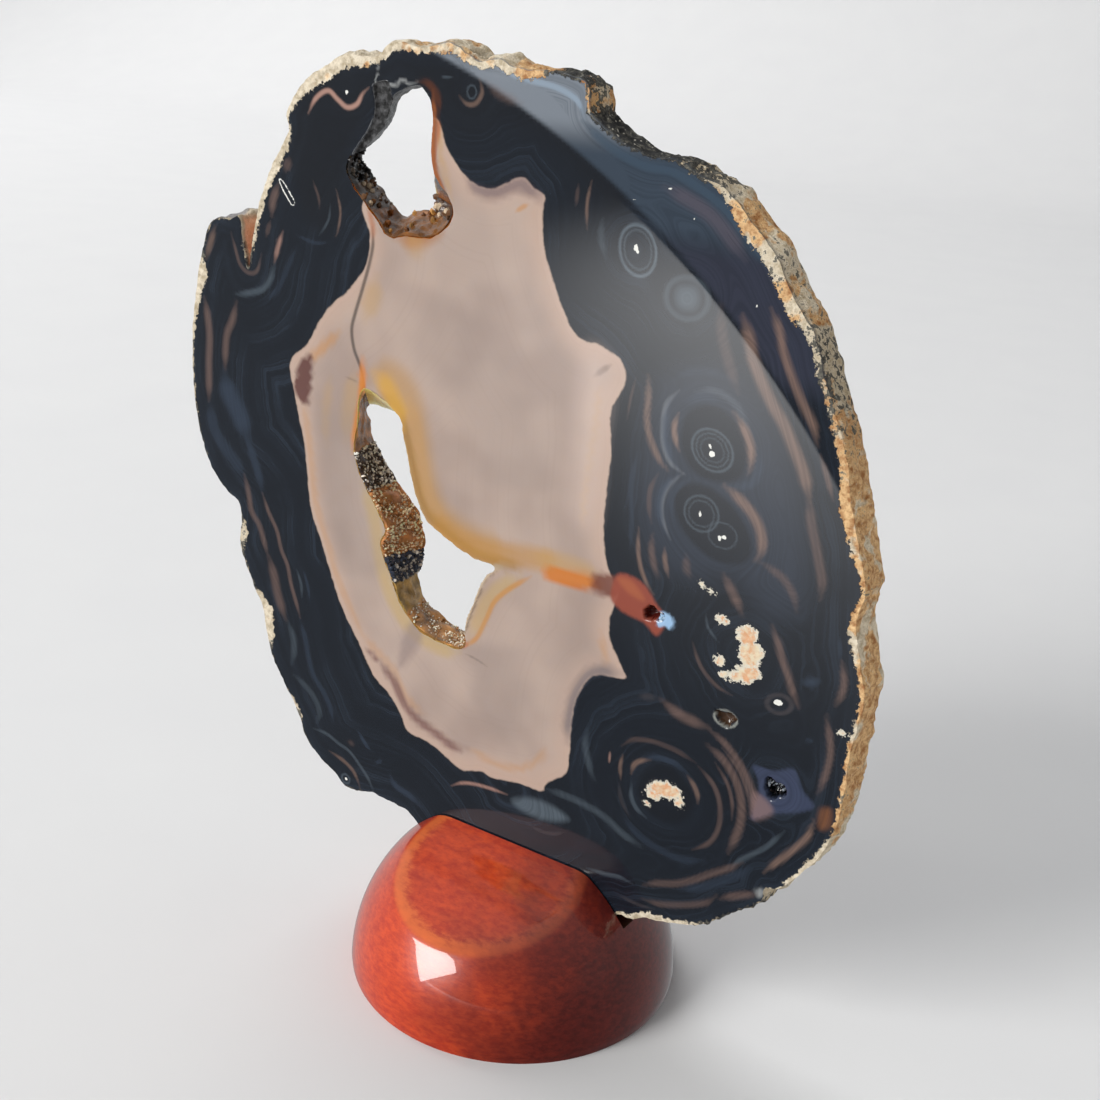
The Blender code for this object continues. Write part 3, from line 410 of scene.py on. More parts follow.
# Marks on the rims of the hollows, in dark and pale stone alike: colour, strength, half width, points
EDGE_MARKS = (
    ((156, 88, 42), 0.95, 0.5, ((-21.7, 142.4), (-21.4, 139), (-21.4, 135.4), (-20.9, 131.4), (-19.4, 128.4),
        (-17.8, 126.4))),
    ((92, 50, 30), 0.8, 0.6, ((-24.6, 143.4), (-22.6, 143.2), (-20.9, 141.6), (-20.5, 138.6))),
    ((156, 158, 158), 0.95, 0.26, ((-31.4, 140.8), (-30, 142.4), (-28.6, 142.5), (-27.4, 143.3),
        (-26, 142.9), (-24.4, 143.3))),
    ((150, 152, 152), 0.85, 0.13, ((-32.5, 146.2), (-31.9, 144.5), (-32.4, 142.6), (-31.4, 140.8))),
    ((206, 126, 50), 0.95, 0.75, ((-34.2, 101), (-33.9, 97.4), (-34.3, 93.4), (-35.2, 88.2),
        (-35.9, 84.2))),
    ((176, 160, 138), 0.9, 0.6, ((-12.2, 57), (-11.6, 60.5), (-10.1, 65), (-8.4, 69.3), (-6.4, 71.8),
        (-3.4, 72.6))),
    ((96, 82, 70), 0.8, 0.16, ((-11.9, 57.4), (-11.2, 60.5), (-9.8, 64.8), (-8, 69), (-6, 71.4))),
    ((96, 66, 34), 0.8, 0.18, ((-33.5, 95.8), (-31, 95.1), (-28.8, 94), (-27, 92.6))),
)

# Dark ground that the bands lie on: colour, strength, edge softness, corner points
GROUNDS = (
    ((50, 58, 72), 0.6, 3.5, ((20, 107), (29, 110), (37, 104), (43, 93), (45, 80), (40, 77), (34, 81),
        (26, 79), (19, 84), (18, 96))),
    (DEEP, 0.85, 2, ((-49, 131), (-45, 142), (-34, 145), (-20, 146.4), (-4, 144.6), (3, 140), (12, 134),
        (10, 129), (2, 135), (-8, 139), (-16, 137), (-28, 143), (-36, 135), (-38.5, 127), (-41, 120),
        (-46, 121))),
    (DEEP, 0.8, 0.5, ((23.6, 101), (24.6, 103.8), (28, 105.2), (32, 103.2), (33.8, 99.6), (33.3, 96),
        (30.6, 94.6), (26.6, 94.8), (24, 97.6))),
    (DEEP, 0.8, 0.5, ((23.4, 91.2), (25.5, 93.2), (28.2, 93.6), (31.6, 92.2), (34.6, 89.6), (36.2, 86.6),
        (35.6, 84), (32.4, 82.8), (28.4, 83.8), (24.6, 87))),
    (DEEP, 0.7, 0.8, ((21.8, 43.2), (23.4, 47), (27.6, 48.2), (31.2, 46), (31.8, 42.6), (29.4, 39.4),
        (24.6, 39.2))),
)

# Cream blotches: centre in X and Z, half sizes in X and Z, tilt in degrees
BLOTCHES = (
    (37.2, 73, 1.9, 1.7, 20), (38.1, 70.4, 2, 2.4, -15), (37.8, 67.2, 2.5, 1.5, 25), (36, 66, 1.4, 0.8, 0),
    (33.4, 68, 1, 1, 0), (34.4, 66, 1, 0.7, -20), (33.1, 74.3, 1.1, 0.9, 0), (29.2, 78.8, 0.6, 0.8, 20),
    (31, 78.1, 0.9, 0.5, -15), (26.9, 44, 3, 1.7, 8), (25.2, 42.5, 1.8, 0.9, 0), (24.2, 40.6, 0.7, 0.5, 0),
    (29.6, 42.9, 0.9, 1.2, 0), (53.2, 62.8, 0.8, 0.5, 0),
)

# White specks and small clear crystals: centre in X and Z, half sizes in X and Z, tilt in degrees
SPECKS = (
    (28.6, 98.3, 0.5, 0.48, 0), (28.2, 99.3, 0.2, 0.5, 30), (27.8, 89.2, 0.22, 0.5, 0),
    (31.9, 86.7, 0.38, 0.3, 0), (31.2, 86.4, 0.3, 0.5, 0), (13.9, 124.6, 0.35, 0.5, 0),
    (14.2, 124.1, 0.3, 0.3, 0), (43.1, 64.4, 0.7, 0.5, 10), (-37.9, 140.8, 0.28, 0.4, 0),
    (-36.2, 22.6, 0.35, 0.35, 0), (13, 131, 0.24, 0.12, 10), (18, 133, 0.26, 0.12, 0),
    (22, 129.5, 0.14, 0.2, 0), (32.5, 119.5, 0.12, 0.26, 0),
)

# The white loop on the left shoulder, and half the width of its line
SLIT = (
    (-51.7, 126.4), (-50.9, 126.2), (-49.6, 124.8), (-48.4, 123.2), (-48.9, 122.7), (-49.7, 123.5),
    (-51, 125.1),
)
SLIT_HALF_WIDTH = 0.13

# Eyes that the fine banding wraps round: centre in X and Z, and how fast the growth runs out from them
EYES = (
    (28.7, 98.7, 1), (28.4, 89.2, 1), (31.6, 86.8, 1), (13.8, 124.4, 0.9), (22.4, 119, 0.9),
    (26.9, 43.4, 0.75), (-37.8, 142.4, 1), (-14.8, 142.7, 1), (37.5, 70, 0.7), (44.4, 50.6, 0.9),
)

# How sharply the growth from the rim meets the growth from an eye, in millimetres
GROWTH_JOIN = 1.5

# Pits in the front face: centre in X and Z, half sizes in X and Z, depth, colour
PITS = (
    (35.4, 59.2, 1.7, 1.2, 1.4, (70, 50, 36)),
    (44.3, 50.6, 1.8, 1.6, 2.4, (16, 18, 22)),
    (22, 72, 1.9, 1.1, 2, (78, 26, 20)),
)

# The broken edge left of the upper hollow
CHIP = (
    (-32.9, 142.2), (-32.5, 139.4), (-33.2, 136.4), (-36.6, 131.8), (-35, 131.6), (-33, 134),
    (-30.4, 136.4), (-29.2, 139.6), (-30, 143),
)

# Colours that stand out on the slice's rough side: colour, centre in X and Z, radius
SIDE_PATCHES = (((255, 196, 158), -59.6, 114.6, 6), ((150, 148, 150), -63.8, 119.4, 3.2))

# Colours up the hollows' walls: the Z where each starts to show, the Z where it is full, colour
# The pale yellow from Z 90 up is partly painted light: paler than the stone, to make up for the shade on the
# hollows' roofs
WALL_COLOURS = ((88, 90, (255, 232, 160)), (118, 120, (170, 100, 44)), (125.5, 129, (32, 28, 27)))

# Zones down a crust: lower and upper Z, share of the wall that crystals cover, their size, the spread of
# their lean, colour of the wall, colours of two kinds of crystal, and the share of the second kind
# The near-white second kind is partly painted highlight: crystals coloured like the glints off their facets
MIDDLE_ZONES = (
    (84.5, 99, 0, 0.6, 0.3, (150, 104, 60), (150, 96, 46), (190, 142, 84), 0.4),
    (78.5, 84.5, 1, 0.5, 0.7, (60, 42, 30), (58, 40, 30), (236, 226, 214), 0.45),
    (67.8, 78.5, 1, 0.42, 0.6, (168, 112, 66), (178, 120, 70), (255, 226, 186), 0.5),
    (63.6, 67.8, 0.9, 0.6, 0.8, (40, 44, 54), (50, 58, 74), (190, 184, 176), 0.25),
    (59, 63.6, 0, 0.5, 0.15, (164, 132, 68), (136, 106, 62), (136, 106, 62), 0.3),
    (50, 59, 0.4, 0.32, 0.5, (168, 120, 66), (160, 112, 62), (255, 238, 212), 0.6),
)
UPPER_ZONES = (
    (127.5, 140, 0.4, 0.8, 0.7, (26, 24, 24), (30, 27, 26), (120, 108, 96), 0.15),
    (124, 127.5, 0.3, 0.8, 0.6, (74, 50, 34), (104, 70, 42), (206, 184, 156), 0.35),
    (110, 124, 0.05, 0.9, 0.25, (124, 78, 34), (140, 84, 36), (198, 146, 80), 0.4),
)

# The two colours of the crystals in the lower right pit, and of those beside the red patch
DARK_QUARTZ = ((16, 18, 22), (150, 158, 168))
CLEAR_QUARTZ = ((172, 204, 232), (232, 242, 250))

# Rough rind: share of the way to the back face, bulge, roughness
RIND_PROFILE = ((0, 0, 0.3), (0.1, 0.5, 0.7), (0.36, 0.9, 1), (0.62, 1, 1), (0.88, 0.6, 0.8), (1, 0, 0.4))
RIND_STEPS = 12
RIND_ROUGHNESS = 1.1
RIND_BULGE = 0.5

# Where the stand's slot has worn the rind, and the share of its roughness that is left there
SLOT_TOP = 19.0
SLOT_HALF_WIDTH = 20.0
WORN_SHARE = 0.25

# The shallow ground band: its axis in X and Z, the radius where it starts, its slope, and half the width of
# the round where it starts
BAND_AXIS = (-67.0, 11.7)
BAND_START = 142.8
BAND_SLOPE = 0.12
BAND_ROUND = 0.4

# Painted reflection on the ground band: colour, and the lowest and highest Z that it covers in full
BAND_REFLECTION_TINTS = (((52, 55, 70), 112, 124), ((60, 72, 86), 129, 136), ((134, 142, 152), 141, 150))

# The crusts: how far they fade out past their ends, in spans; their depth; points across their shell
CRUST_FADE = 0.6
CRUST_DEPTH = 0.3
SHELL_ROWS = 10

# How far every crystal stays behind the polished face and before the sawn one
FACE_GAP = 0.05

# Samples from one chosen point to the next
RIM_SAMPLES = 9
HOLLOW_SAMPLES = 12
MARK_SAMPLES = 6

# Spacing of the slice's points where there is much, some and little to show, and on the back
FINE, MEDIUM, COARSE = 0.25, 0.5, 1.0
BACK_SPACING = 1.0
LATTICE_REACH = 180

# Half widths: a band of less than the first needs the finest spacing, and a mark of more than the second
# shows on the back too
NARROW = 0.5
WIDE = 0.45

# The stand: a half ball with a round at its foot and a flat facet that leans to the front
STAND_RADIUS = 28.0
FOOT_RADIUS = 27.85
FOOT_ANGLE = math.radians(2.2)
FACET_TILT = math.radians(22.0)
FACET_FACING = (0.0, -math.sin(FACET_TILT), math.cos(FACET_TILT))
FACET_DISTANCE = 23.2
FACET_SOFTNESS = 1.0
STAND_AROUND, STAND_UP = 256, 96

# The slot in the stand, and the saw that cut it
SLOT_FRONT, SLOT_BACK, SLOT_FLOOR = -2.8, 5.3, 10.0
SAW_RADIUS = 41.4
SAW_SEGMENTS = 192

# The sheet that the object stands on, in metres: it runs back, bends and rises as a wall
FLOOR_HALF_WIDTH = 2.5
FLOOR_FRONT, FLOOR_BACK = -0.95, 1.2
BEND_RADIUS = 0.6
BEND_STEPS = 16
WALL_TOP = 2.6

# The soft patch of light on the floor in front, in metres
GLOW_CENTRE = (-0.21, -0.53, 0.003)
GLOW_REACH = (0.56, 0.17)
GLOW_TURN = math.radians(57.3)
GLOW_STRENGTH = 3.4

# The room: the side it is bright on, its brightness on both sides, and as the camera sees it
ROOM_BRIGHT_SIDE = (-0.6, 0.5, 0.62)
ROOM_DIM, ROOM_BRIGHT, ROOM_SEEN = 0.06, 0.55, 0.76
ROOM_COLOUR = (0.96, 0.98, 1.0, 1)

# The lamps' colours, and how far the windows are turned
WINDOW_ROLL = math.radians(40)
WINDOW_WHITE = (1.0, 0.99, 0.97)
FILL_WARM = (1.0, 0.95, 0.88)

# The camera: its own right and up, its place in metres, and its lens in millimetres
CAMERA_RIGHT = Vector((0.8406, 0.5378, 0.0640)).normalized()
CAMERA_UP = Vector((-0.2438, 0.2703, 0.9314))
CAMERA_PLACE = (0.1070, -0.1735, 0.1541)
CAMERA_LENS = 45.82

# Where a mix of two colours takes and gives them
MIX_FIRST, MIX_SECOND, MIX_RESULT = 6, 7, 2


def smoothstep(low, high, value):
    share = np.clip((value - low) / (high - low), 0, 1)
    return share * share * (3 - 2 * share)


def smooth_path(points, per_point, closed=True):
    """The smooth curve through a few chosen points, with per_point samples from each to the next."""
    chosen = np.array(points, float)
    spans = len(chosen) if closed else len(chosen) - 1
    positions = np.arange(spans * per_point + (0 if closed else 1)) / per_point
    start = np.minimum(np.floor(positions).astype(int), spans - 1)
    along = (positions - start)[:, None]

    def knot(step):
        index = start + step
        return chosen[index % len(chosen) if closed else np.clip(index, 0, len(chosen) - 1)]

    before, here, after, beyond = (knot(step) for step in (-1, 0, 1, 2))
    return 0.5 * (
        2 * here
        + (after - before) * along
        + (2 * before - 5 * here + 4 * after - beyond) * along**2
        + (3 * here - before - 3 * after + beyond) * along**3
    )


def nearest(places, path, closed=True):
    """Each place's distance to the path, signed by the side it lies on, and how far along the path it is."""
    starts = path if closed else path[:-1]
    spans = (np.roll(path, -1, axis=0) if closed else path[1:]) - starts
    lengths = np.linalg.norm(spans, axis=1)
    travelled = np.concatenate([[0.0], np.cumsum(lengths)[:-1]])
    signed = np.empty(len(places))
    along = np.empty(len(places))
    chunk = 8192
    for first in range(0, len(places), chunk):
        part = places[first:first + chunk]
        squared = (path**2).sum(1)[None, :] - 2 * part @ path.T
        corner = squared.argmin(1)
        best = np.full(len(part), np.inf)
        for step in (-1, 0):
            index = (corner + step) % len(starts) if closed else np.clip(corner + step, 0, len(starts) - 1)
            offset = part - starts[index]
            share = np.clip((offset * spans[index]).sum(1) / lengths[index] ** 2, 0, 1)
            distance = np.linalg.norm(offset - spans[index] * share[:, None], axis=1)
            side = np.where(spans[index, 0] * offset[:, 1] > spans[index, 1] * offset[:, 0], 1.0, -1.0)
            closer = distance < best
            best[closer] = distance[closer]
            signed[first:first + chunk][closer] = (side * distance)[closer]
            along[first:first + chunk][closer] = (travelled[index] + share * lengths[index])[closer]
    return signed, along


def within(places, path, margin):
    """Indices of the places inside the path's bounding box."""
    low, high = path.min(0) - margin, path.max(0) + margin
    return np.flatnonzero(((places > low) & (places < high)).all(axis=1))


def grain(places, size, shift=0.0):
    """Smooth noise between about -1 and 1 at each place, with lumps of this size."""
    offset = Vector((shift, 3.7 * shift, -2.1 * shift))
    return np.array([noise.noise(Vector(place) / size + offset) for place in places.tolist()])


def path_normals(path):
    """Unit normals to the left of a closed path."""
    tangent = np.roll(path, -1, axis=0) - np.roll(path, 1, axis=0)
    tangent /= np.linalg.norm(tangent, axis=1)[:, None]
    return np.stack([-tangent[:, 1], tangent[:, 0]], axis=1)


def band_radius(places):
    return np.hypot(places[:, 0] - BAND_AXIS[0], places[:, 1] - BAND_AXIS[1])


def face_depth(places):
    """Depth of the front face: flat, a small round, and the shallow cone of the ground band."""
    past = band_radius(places) - BAND_START
    rounded = np.maximum(past + BAND_ROUND, 0) ** 2 / (4 * BAND_ROUND)
    return FRONT + BAND_SLOPE * np.where(past > BAND_ROUND, past, rounded)


def ellipse_ratio(places, x, z, half_x, half_z, tilt=0.0):
    """0 at the centre of an ellipse, 1 on its edge."""
    turn = math.radians(tilt)
    right, up = places[:, 0] - x, places[:, 1] - z
    across = (right * math.cos(turn) + up * math.sin(turn)) / half_x
    along = (up * math.cos(turn) - right * math.sin(turn)) / half_z
    return np.hypot(across, along)


def pit_depth(places):
    sunk = np.zeros(len(places))
    for index, (x, z, half_x, half_z, depth, _) in enumerate(PITS):
        angle = np.arctan2((places[:, 1] - z) / half_z, (places[:, 0] - x) / half_x)
        ragged = 1 + 0.18 * np.sin(3 * angle + index) + 0.1 * np.cos(5 * angle + 2 * index)
        ratio = ellipse_ratio(places, x, z, half_x, half_z) / ragged
        sunk = np.maximum(sunk, depth * np.interp(ratio, (0.35, 0.8, 0.98), (1.0, 0.75, 0.0)))
    return sunk


def inside_rim(places):
    """Distance inward from the slice's edge, and the way along it."""
    signed, along = nearest(places, RIM)
    return -signed, along


def outside_hollows(places):
    """Distance into the stone from the nearest hollow, on the front face."""
    return np.minimum(*(-nearest(places, path)[0] for path in (UPPER_EDGE, MIDDLE_EDGE)))


def lattice(spacing):
    """Points of a triangular grid over the slice, with their two whole numbers."""
    steps = int(LATTICE_REACH / spacing)
    first, second = np.meshgrid(np.arange(-steps, steps), np.arange(0, steps), indexing="ij")
    first, second = first.ravel(), second.ravel()
    places = np.stack([(first + 0.5 * second) * spacing, second * spacing * math.sqrt(0.75)], axis=1)
    kept = within(places, RIM, 0)
    return places[kept], first[kept], second[kept]


def mark_close_to(close, places, path, reach, closed):
    part = within(places, path, reach)
    close[part] |= np.abs(nearest(places[part], path, closed)[0]) < reach


def near_marks(places):
    """True where a mark is so narrow that it needs the finest grid."""
    close = np.zeros(len(places), bool)
    for _, _, half_width, points in BANDS + STAINS:
        if half_width < NARROW:
            mark_close_to(close, places, smooth_path(points, MARK_SAMPLES, closed=False), 0.7, False)
    for points in (CHIP, RED_PATCH, SLIT):
        mark_close_to(close, places, smooth_path(points, MARK_SAMPLES), 0.8, True)
    ellipses = [(x, z, half_x + 0.6, half_z + 0.6, tilt) for _, _, _, x, z, half_x, half_z, tilt in RINGS]
    for x, z, half_x, half_z, tilt in BLOTCHES + SPECKS:
        ellipses.append((x, z, half_x + 0.7, half_z + 0.7, tilt))
    ellipses += [(x, z, half_x * 1.5, half_z * 1.5, 0) for x, z, half_x, half_z, _, _ in PITS]
    for ellipse in ellipses:
        close |= ellipse_ratio(places, *ellipse) < 1
    return close


def front_grid():
    """Points inside the front face, closest together where there is most to show."""
    places, first, second = lattice(FINE)
    rim_distance, along = inside_rim(places)
    hollow_distance = outside_hollows(places)
    core_distance = -nearest(places, CORE)[0]
    medium = (first % 2 == 0) & (second % 2 == 0)
    coarse = (first % 4 == 0) & (second % 4 == 0)
    rind_edge = np.abs(rim_distance - rind_width(along)) < 0.5
    fine_wanted = near_marks(places) | rind_edge | (hollow_distance < 0.5)
    medium_wanted = (core_distance < 1.2) | (rim_distance < 3) | (hollow_distance < 1.5)
    spacing = np.where(fine_wanted, FINE, np.where(medium_wanted, MEDIUM, COARSE))
    kept = coarse | (medium & (spacing <= MEDIUM)) | (spacing <= FINE)
    return places[kept & (np.minimum(rim_distance, hollow_distance) > 0.5 * spacing)]


def back_grid(loops):
    places, _, _ = lattice(BACK_SPACING)
    return places[np.min([-nearest(places, loop)[0] for loop in loops], axis=0) > 0.5 * BACK_SPACING]


def fill_face(loops, grid):
    """Triangles between the loops, through the grid's points; also where each loop's points ended up."""
    corners = np.concatenate([*loops, grid])
    edges = []
    starts = np.cumsum([0] + [len(loop) for loop in loops])
    for start, loop in zip(starts, loops):
        edges += [(start + index, start + (index + 1) % len(loop)) for index in range(len(loop))]
    flat = [Vector(corner) for corner in corners.tolist()]
    made, _, triangles, origins, _, _ = delaunay_2d_cdt(flat, edges, [], 1, 1e-6)
    places = np.array([tuple(corner) for corner in made])
    triangles = np.array(triangles)
    middles = places[triangles].mean(axis=1)
    kept = np.ones(len(triangles), bool)
    for hollow in loops[1:]:
        kept &= nearest(middles, hollow)[0] < 0
    now = np.empty(len(corners), int)
    for index, sources in enumerate(origins):
        now[sources] = index
    loop_points = [now[start:start + len(loop)] for start, loop in zip(starts, loops)]
    return places, triangles[kept], loop_points


def rind_ring(share):
    """The slice's rough edge at a share of the way to the back face, as X and Z."""
    shares, bulges, roughnesses = zip(*RIND_PROFILE)
    bulge = RIND_BULGE * np.interp(share, shares, bulges)
    roughness = RIND_ROUGHNESS * np.interp(share, shares, roughnesses)
    places = np.stack([RIM[:, 0], np.full(len(RIM), FRONT + share * THICKNESS), RIM[:, 1]], axis=1)
    in_slot = (RIM[:, 1] < SLOT_TOP) & (np.abs(RIM[:, 0]) < SLOT_HALF_WIDTH)
    worn = np.where(in_slot, WORN_SHARE, 1.0)
    crumbs = [noise.noise(Vector(place) / 1.6 + Vector((7, 3, 5))) for place in places.tolist()]
    lumps = 0.8 * grain(places, 4.5) + 0.6 * np.array(crumbs)
    grit = 0.3 * np.abs(grain(places, 1.1, 4.0)) + 0.2 * np.abs(grain(places, 0.55, 9.0))
    out = bulge + roughness * worn * lumps - (0.35 + roughness) * worn * grit
    return RIM + path_normals(RIM) * out[:, None]


def crust_cover(count, spans):
    """1 at each sample of a hollow's edge where a crust covers the wall, falling to 0 past its ends."""
    position = np.arange(count * HOLLOW_SAMPLES) / HOLLOW_SAMPLES
    position = np.where(position > count - 1, position - count, position)
    return np.clip(1 + np.minimum(position, spans - position) / CRUST_FADE, 0, 1)


def hollow_ring(front_points, back_points, spans, share):
    """The wall of a hollow at a share of the way to the back face, set back where crystals line it."""
    sides = []
    for points in (front_points, back_points):
        path = smooth_path(points, HOLLOW_SAMPLES)
        set_back = CRUST_DEPTH * crust_cover(len(points), spans)
        sides.append(path - path_normals(path) * set_back[:, None])
    ring = sides[0] * (1 - share) + sides[1] * share
    places = np.stack([ring[:, 0], np.full(len(ring), share * THICKNESS), ring[:, 1]], axis=1)
    ragged = 0.22 * grain(places, 1.4, 2.0) + 0.1 * grain(places, 0.5, 6.0)
    return ring - path_normals(ring) * (0.12 + ragged)[:, None]


def wall_between(rings):
    """Faces between rows of points that close on themselves."""
    faces = []
    for first, second in zip(rings, rings[1:]):
        follow_first, follow_second = np.roll(first, -1), np.roll(second, -1)
        faces.append(np.stack([first, second, follow_second, follow_first], axis=1))
    return np.concatenate(faces)


def link(name, data):
    made = bpy.data.objects.new(name, data)
    bpy.context.collection.objects.link(made)
    return made


def new_piece(name, points, face_groups, materials, smooth=True):
    """A mesh object from points in millimetres and groups of faces, one material to a group."""
    mesh = bpy.data.meshes.new(name)
    faces = [face for group in face_groups for face in group]
    mesh.from_pydata((np.asarray(points) * MM).tolist(), [], faces)
    indices = np.concatenate([np.full(len(group), index) for index, group in enumerate(face_groups)])
    mesh.polygons.foreach_set("material_index", indices.astype(np.int32))
    mesh.polygons.foreach_set("use_smooth", np.full(len(indices), smooth))
    for material in materials:
        mesh.materials.append(material)
    mesh.update()
    return link(name, mesh)


def hand_over(piece, node=None):
    """Tells the frame what a piece rides on, and hides the solid that it stands for."""
    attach(piece, "root")
    if node:
        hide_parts(node)


def edit_mesh(piece, change):
    mesh_data = bmesh.new()
    mesh_data.from_mesh(piece.data)
    change(mesh_data)
    mesh_data.to_mesh(piece.data)
    mesh_data.free()


def fix_normals(mesh_data):
    bmesh.ops.recalc_face_normals(mesh_data, faces=mesh_data.faces)


def sharpen_edges(mesh_data):
    """Keeps the edge between two materials crisp."""
    for edge in mesh_data.edges:
        if len({face.material_index for face in edge.link_faces}) > 1:
            edge.smooth = False


def add_field(piece, name, values):
    layer = piece.data.attributes.new(name, "FLOAT", "POINT")
    layer.data.foreach_set("value", np.asarray(values, np.float32))


def add_paint(piece, name, values):
    layer = piece.data.attributes.new(name, "FLOAT_COLOR", "POINT")
    layer.data.foreach_set("color", np.asarray(values, np.float32).ravel())


def rim_tones():
    """Width of the cream rind, and how golden and how dark the side is, at each sample of the rim."""
    anchors = np.array(RIM_TONES)
    _, where = nearest(anchors[:, :2], RIM)
    order = np.argsort(where)
    total = np.linalg.norm(np.roll(RIM, -1, axis=0) - RIM, axis=1).sum()
    return where[order], anchors[order, 2:], total


def along_rim(column, along):
    where, tones, total = rim_tones()
    return np.interp(along, where, tones[:, column], period=total)


def rind_width(along):
    return along_rim(0, along)


def ink(colour):
    """A colour as read from a photograph, in the linear values that shaders use."""
    share = np.array(colour) / 255
    return np.where(share < 0.04045, share / 12.92, ((share + 0.055) / 1.055) ** 2.4)


def lay_on(paint, part, colour, cover):
    """Lays a colour over part of the paint, which is kept already multiplied by its cover."""
    paint[part] *= (1 - cover)[:, None]
    paint[part, :3] += ink(colour) * cover[:, None]
    paint[part, 3] += cover


def paint_bands(paint, places, bands, limit=None):
    """Lays soft bands on the paint, each thinner and fainter towards its ends."""
    for colour, strength, half_width, points in bands:
        path = smooth_path(points, MARK_SAMPLES, closed=False)
        part = within(places, path, 2 * half_width)
        distance, along = nearest(places[part], path, closed=False)
        length = np.linalg.norm(np.diff(path, axis=0), axis=1).sum()
        taper = smoothstep(-0.05, min(3.0, length / 3), np.minimum(along, length - along))
        wide = half_width * (0.45 + 0.55 * taper)
        cover = BAND_STRENGTH * strength * (0.3 + 0.7 * taper)
        cover *= 1 - smoothstep(0.35, 1.5, np.abs(distance) / wide)
        lay_on(paint, part, colour, cover if limit is None else cover * limit[part])


def paint_rings(paint, places):
    for colour, strength, half_width, x, z, half_x, half_z, tilt in RINGS:
        reach = (ellipse_ratio(places, x, z, half_x, half_z, tilt) - 1) * min(half_x, half_z)
        part = np.flatnonzero(np.abs(reach) < 2 * half_width)
        lay_on(paint, part, colour, strength * (1 - smoothstep(0.3, 1.6, np.abs(reach[part]) / half_width)))


def paint_patches(paint, places, patches):
    for colour, strength, softness, points in patches:
        path = smooth_path(points, MARK_SAMPLES)
        part = within(places, path, softness)
        inside = blob_distance(places[part], path)
        lay_on(paint, part, colour, strength * smoothstep(-softness, softness, inside))


def blob_distance(places, path):
    """Distance inside a closed path drawn either way round."""
    following = np.roll(path, -1, axis=0)
    turn = (path[:, 0] * following[:, 1] - path[:, 1] * following[:, 0]).sum()
    return nearest(places, path)[0] * np.sign(turn)


def ellipse_field(places, ellipses):
    """Distance inside the nearest of some ellipses, or a large negative number."""
    inside = np.full(len(places), -9.0)
    for x, z, half_x, half_z, tilt in ellipses:
        share = 1 - ellipse_ratio(places, x, z, half_x, half_z, tilt)
        inside = np.maximum(inside, share * min(half_x, half_z))
    return inside


def speck_field(places):
    slit = np.abs(nearest(places, smooth_path(SLIT, MARK_SAMPLES))[0])
    return np.maximum(ellipse_field(places, SPECKS), SLIT_HALF_WIDTH - slit)


def growth_field(places, rim_distance):
    """How far out from the rim or from an eye the agate had grown; its fine bands follow this."""
    total = np.exp(-rim_distance / GROWTH_JOIN)
    for x, z, rate in EYES:
        total += np.exp(-np.hypot(places[:, 0] - x, places[:, 1] - z) * rate / GROWTH_JOIN)
    return -GROWTH_JOIN * np.log(total)


def paint_band_reflection(paint, places):
    """Paints the ground band's reflection, from grey at its foot to pale blue at its top."""
    part = np.flatnonzero(band_radius(places) > BAND_START)
    edge = smoothstep(BAND_START, BAND_START + 0.8, band_radius(places[part]))
    heights = places[part, 1]
    for colour, low, high in BAND_REFLECTION_TINTS:
        cover = smoothstep(low - 5, low, heights) * smoothstep(high + 5, high, heights)
        lay_on(paint, part, colour, 0.75 * cover * edge)


def paint_pits(paint, places):
    sunk = pit_depth(places)
    for x, z, half_x, half_z, _, colour in PITS:
        part = np.flatnonzero(ellipse_ratio(places, x, z, half_x * 1.3, half_z * 1.3) < 1)
        lay_on(paint, part, colour, smoothstep(0.1, 0.5, sunk[part]))


def paint_side(paint, places):
    for colour, x, z, radius in SIDE_PATCHES:
        away = np.hypot(places[:, 0] - x, places[:, 1] - z)
        part = np.flatnonzero(away < radius)
        lay_on(paint, part, colour, 0.9 * smoothstep(radius, 0.7 * radius, away[part]))


def paint_front(paint, places, core_distance):
    paint_patches(paint, places, GROUNDS)
    paint_band_reflection(paint, places)
    paint_bands(paint, places, BANDS, smoothstep(0.3, -0.5, core_distance))
    paint_bands(paint, places, STAINS, smoothstep(-0.3, 0.4, core_distance))
    paint_rings(paint, places)
    paint_patches(paint, places, PATCHES)
    paint_bands(paint, places, EDGE_MARKS)
    paint_pits(paint, places)


def paint_back(paint, places, core_distance):
    """The back shows the wide bands and stains alone."""
    wide_bands = [band for band in BANDS if band[2] > WIDE]
    wide_stains = [stain for stain in STAINS if stain[2] > WIDE]
    paint_bands(paint, places, wide_bands, smoothstep(0.3, -0.5, core_distance))
    paint_bands(paint, places, wide_stains, smoothstep(-0.3, 0.4, core_distance))


def add_stone_fields(piece, points, back_start, side_start):
    """Puts every field that the stone's materials read on the slice's points."""
    places = points[:, [0, 2]]
    rim_distance, along = inside_rim(places)
    core_distance = -nearest(places, CORE)[0]
    paint = np.zeros((len(places), 4))
    front, back, side = slice(0, back_start), slice(back_start, side_start), slice(side_start, None)
    paint_front(paint[front], places[front], core_distance[front])
    paint_back(paint[back], places[back], core_distance[back])
    paint_side(paint[side], places[side])
    add_paint(piece, "marks", paint)
    add_field(piece, "core", core_distance)
    add_field(piece, "growth", growth_field(places, rim_distance))
    add_field(piece, "rind", rind_width(along) - rim_distance)
    add_field(piece, "golden", along_rim(1, along))
    add_field(piece, "dark", along_rim(2, along))
    add_field(piece, "cream", ellipse_field(places, BLOTCHES))
    add_field(piece, "white", speck_field(places))
    add_field(piece, "chip", blob_distance(places, smooth_path(CHIP, MARK_SAMPLES)))


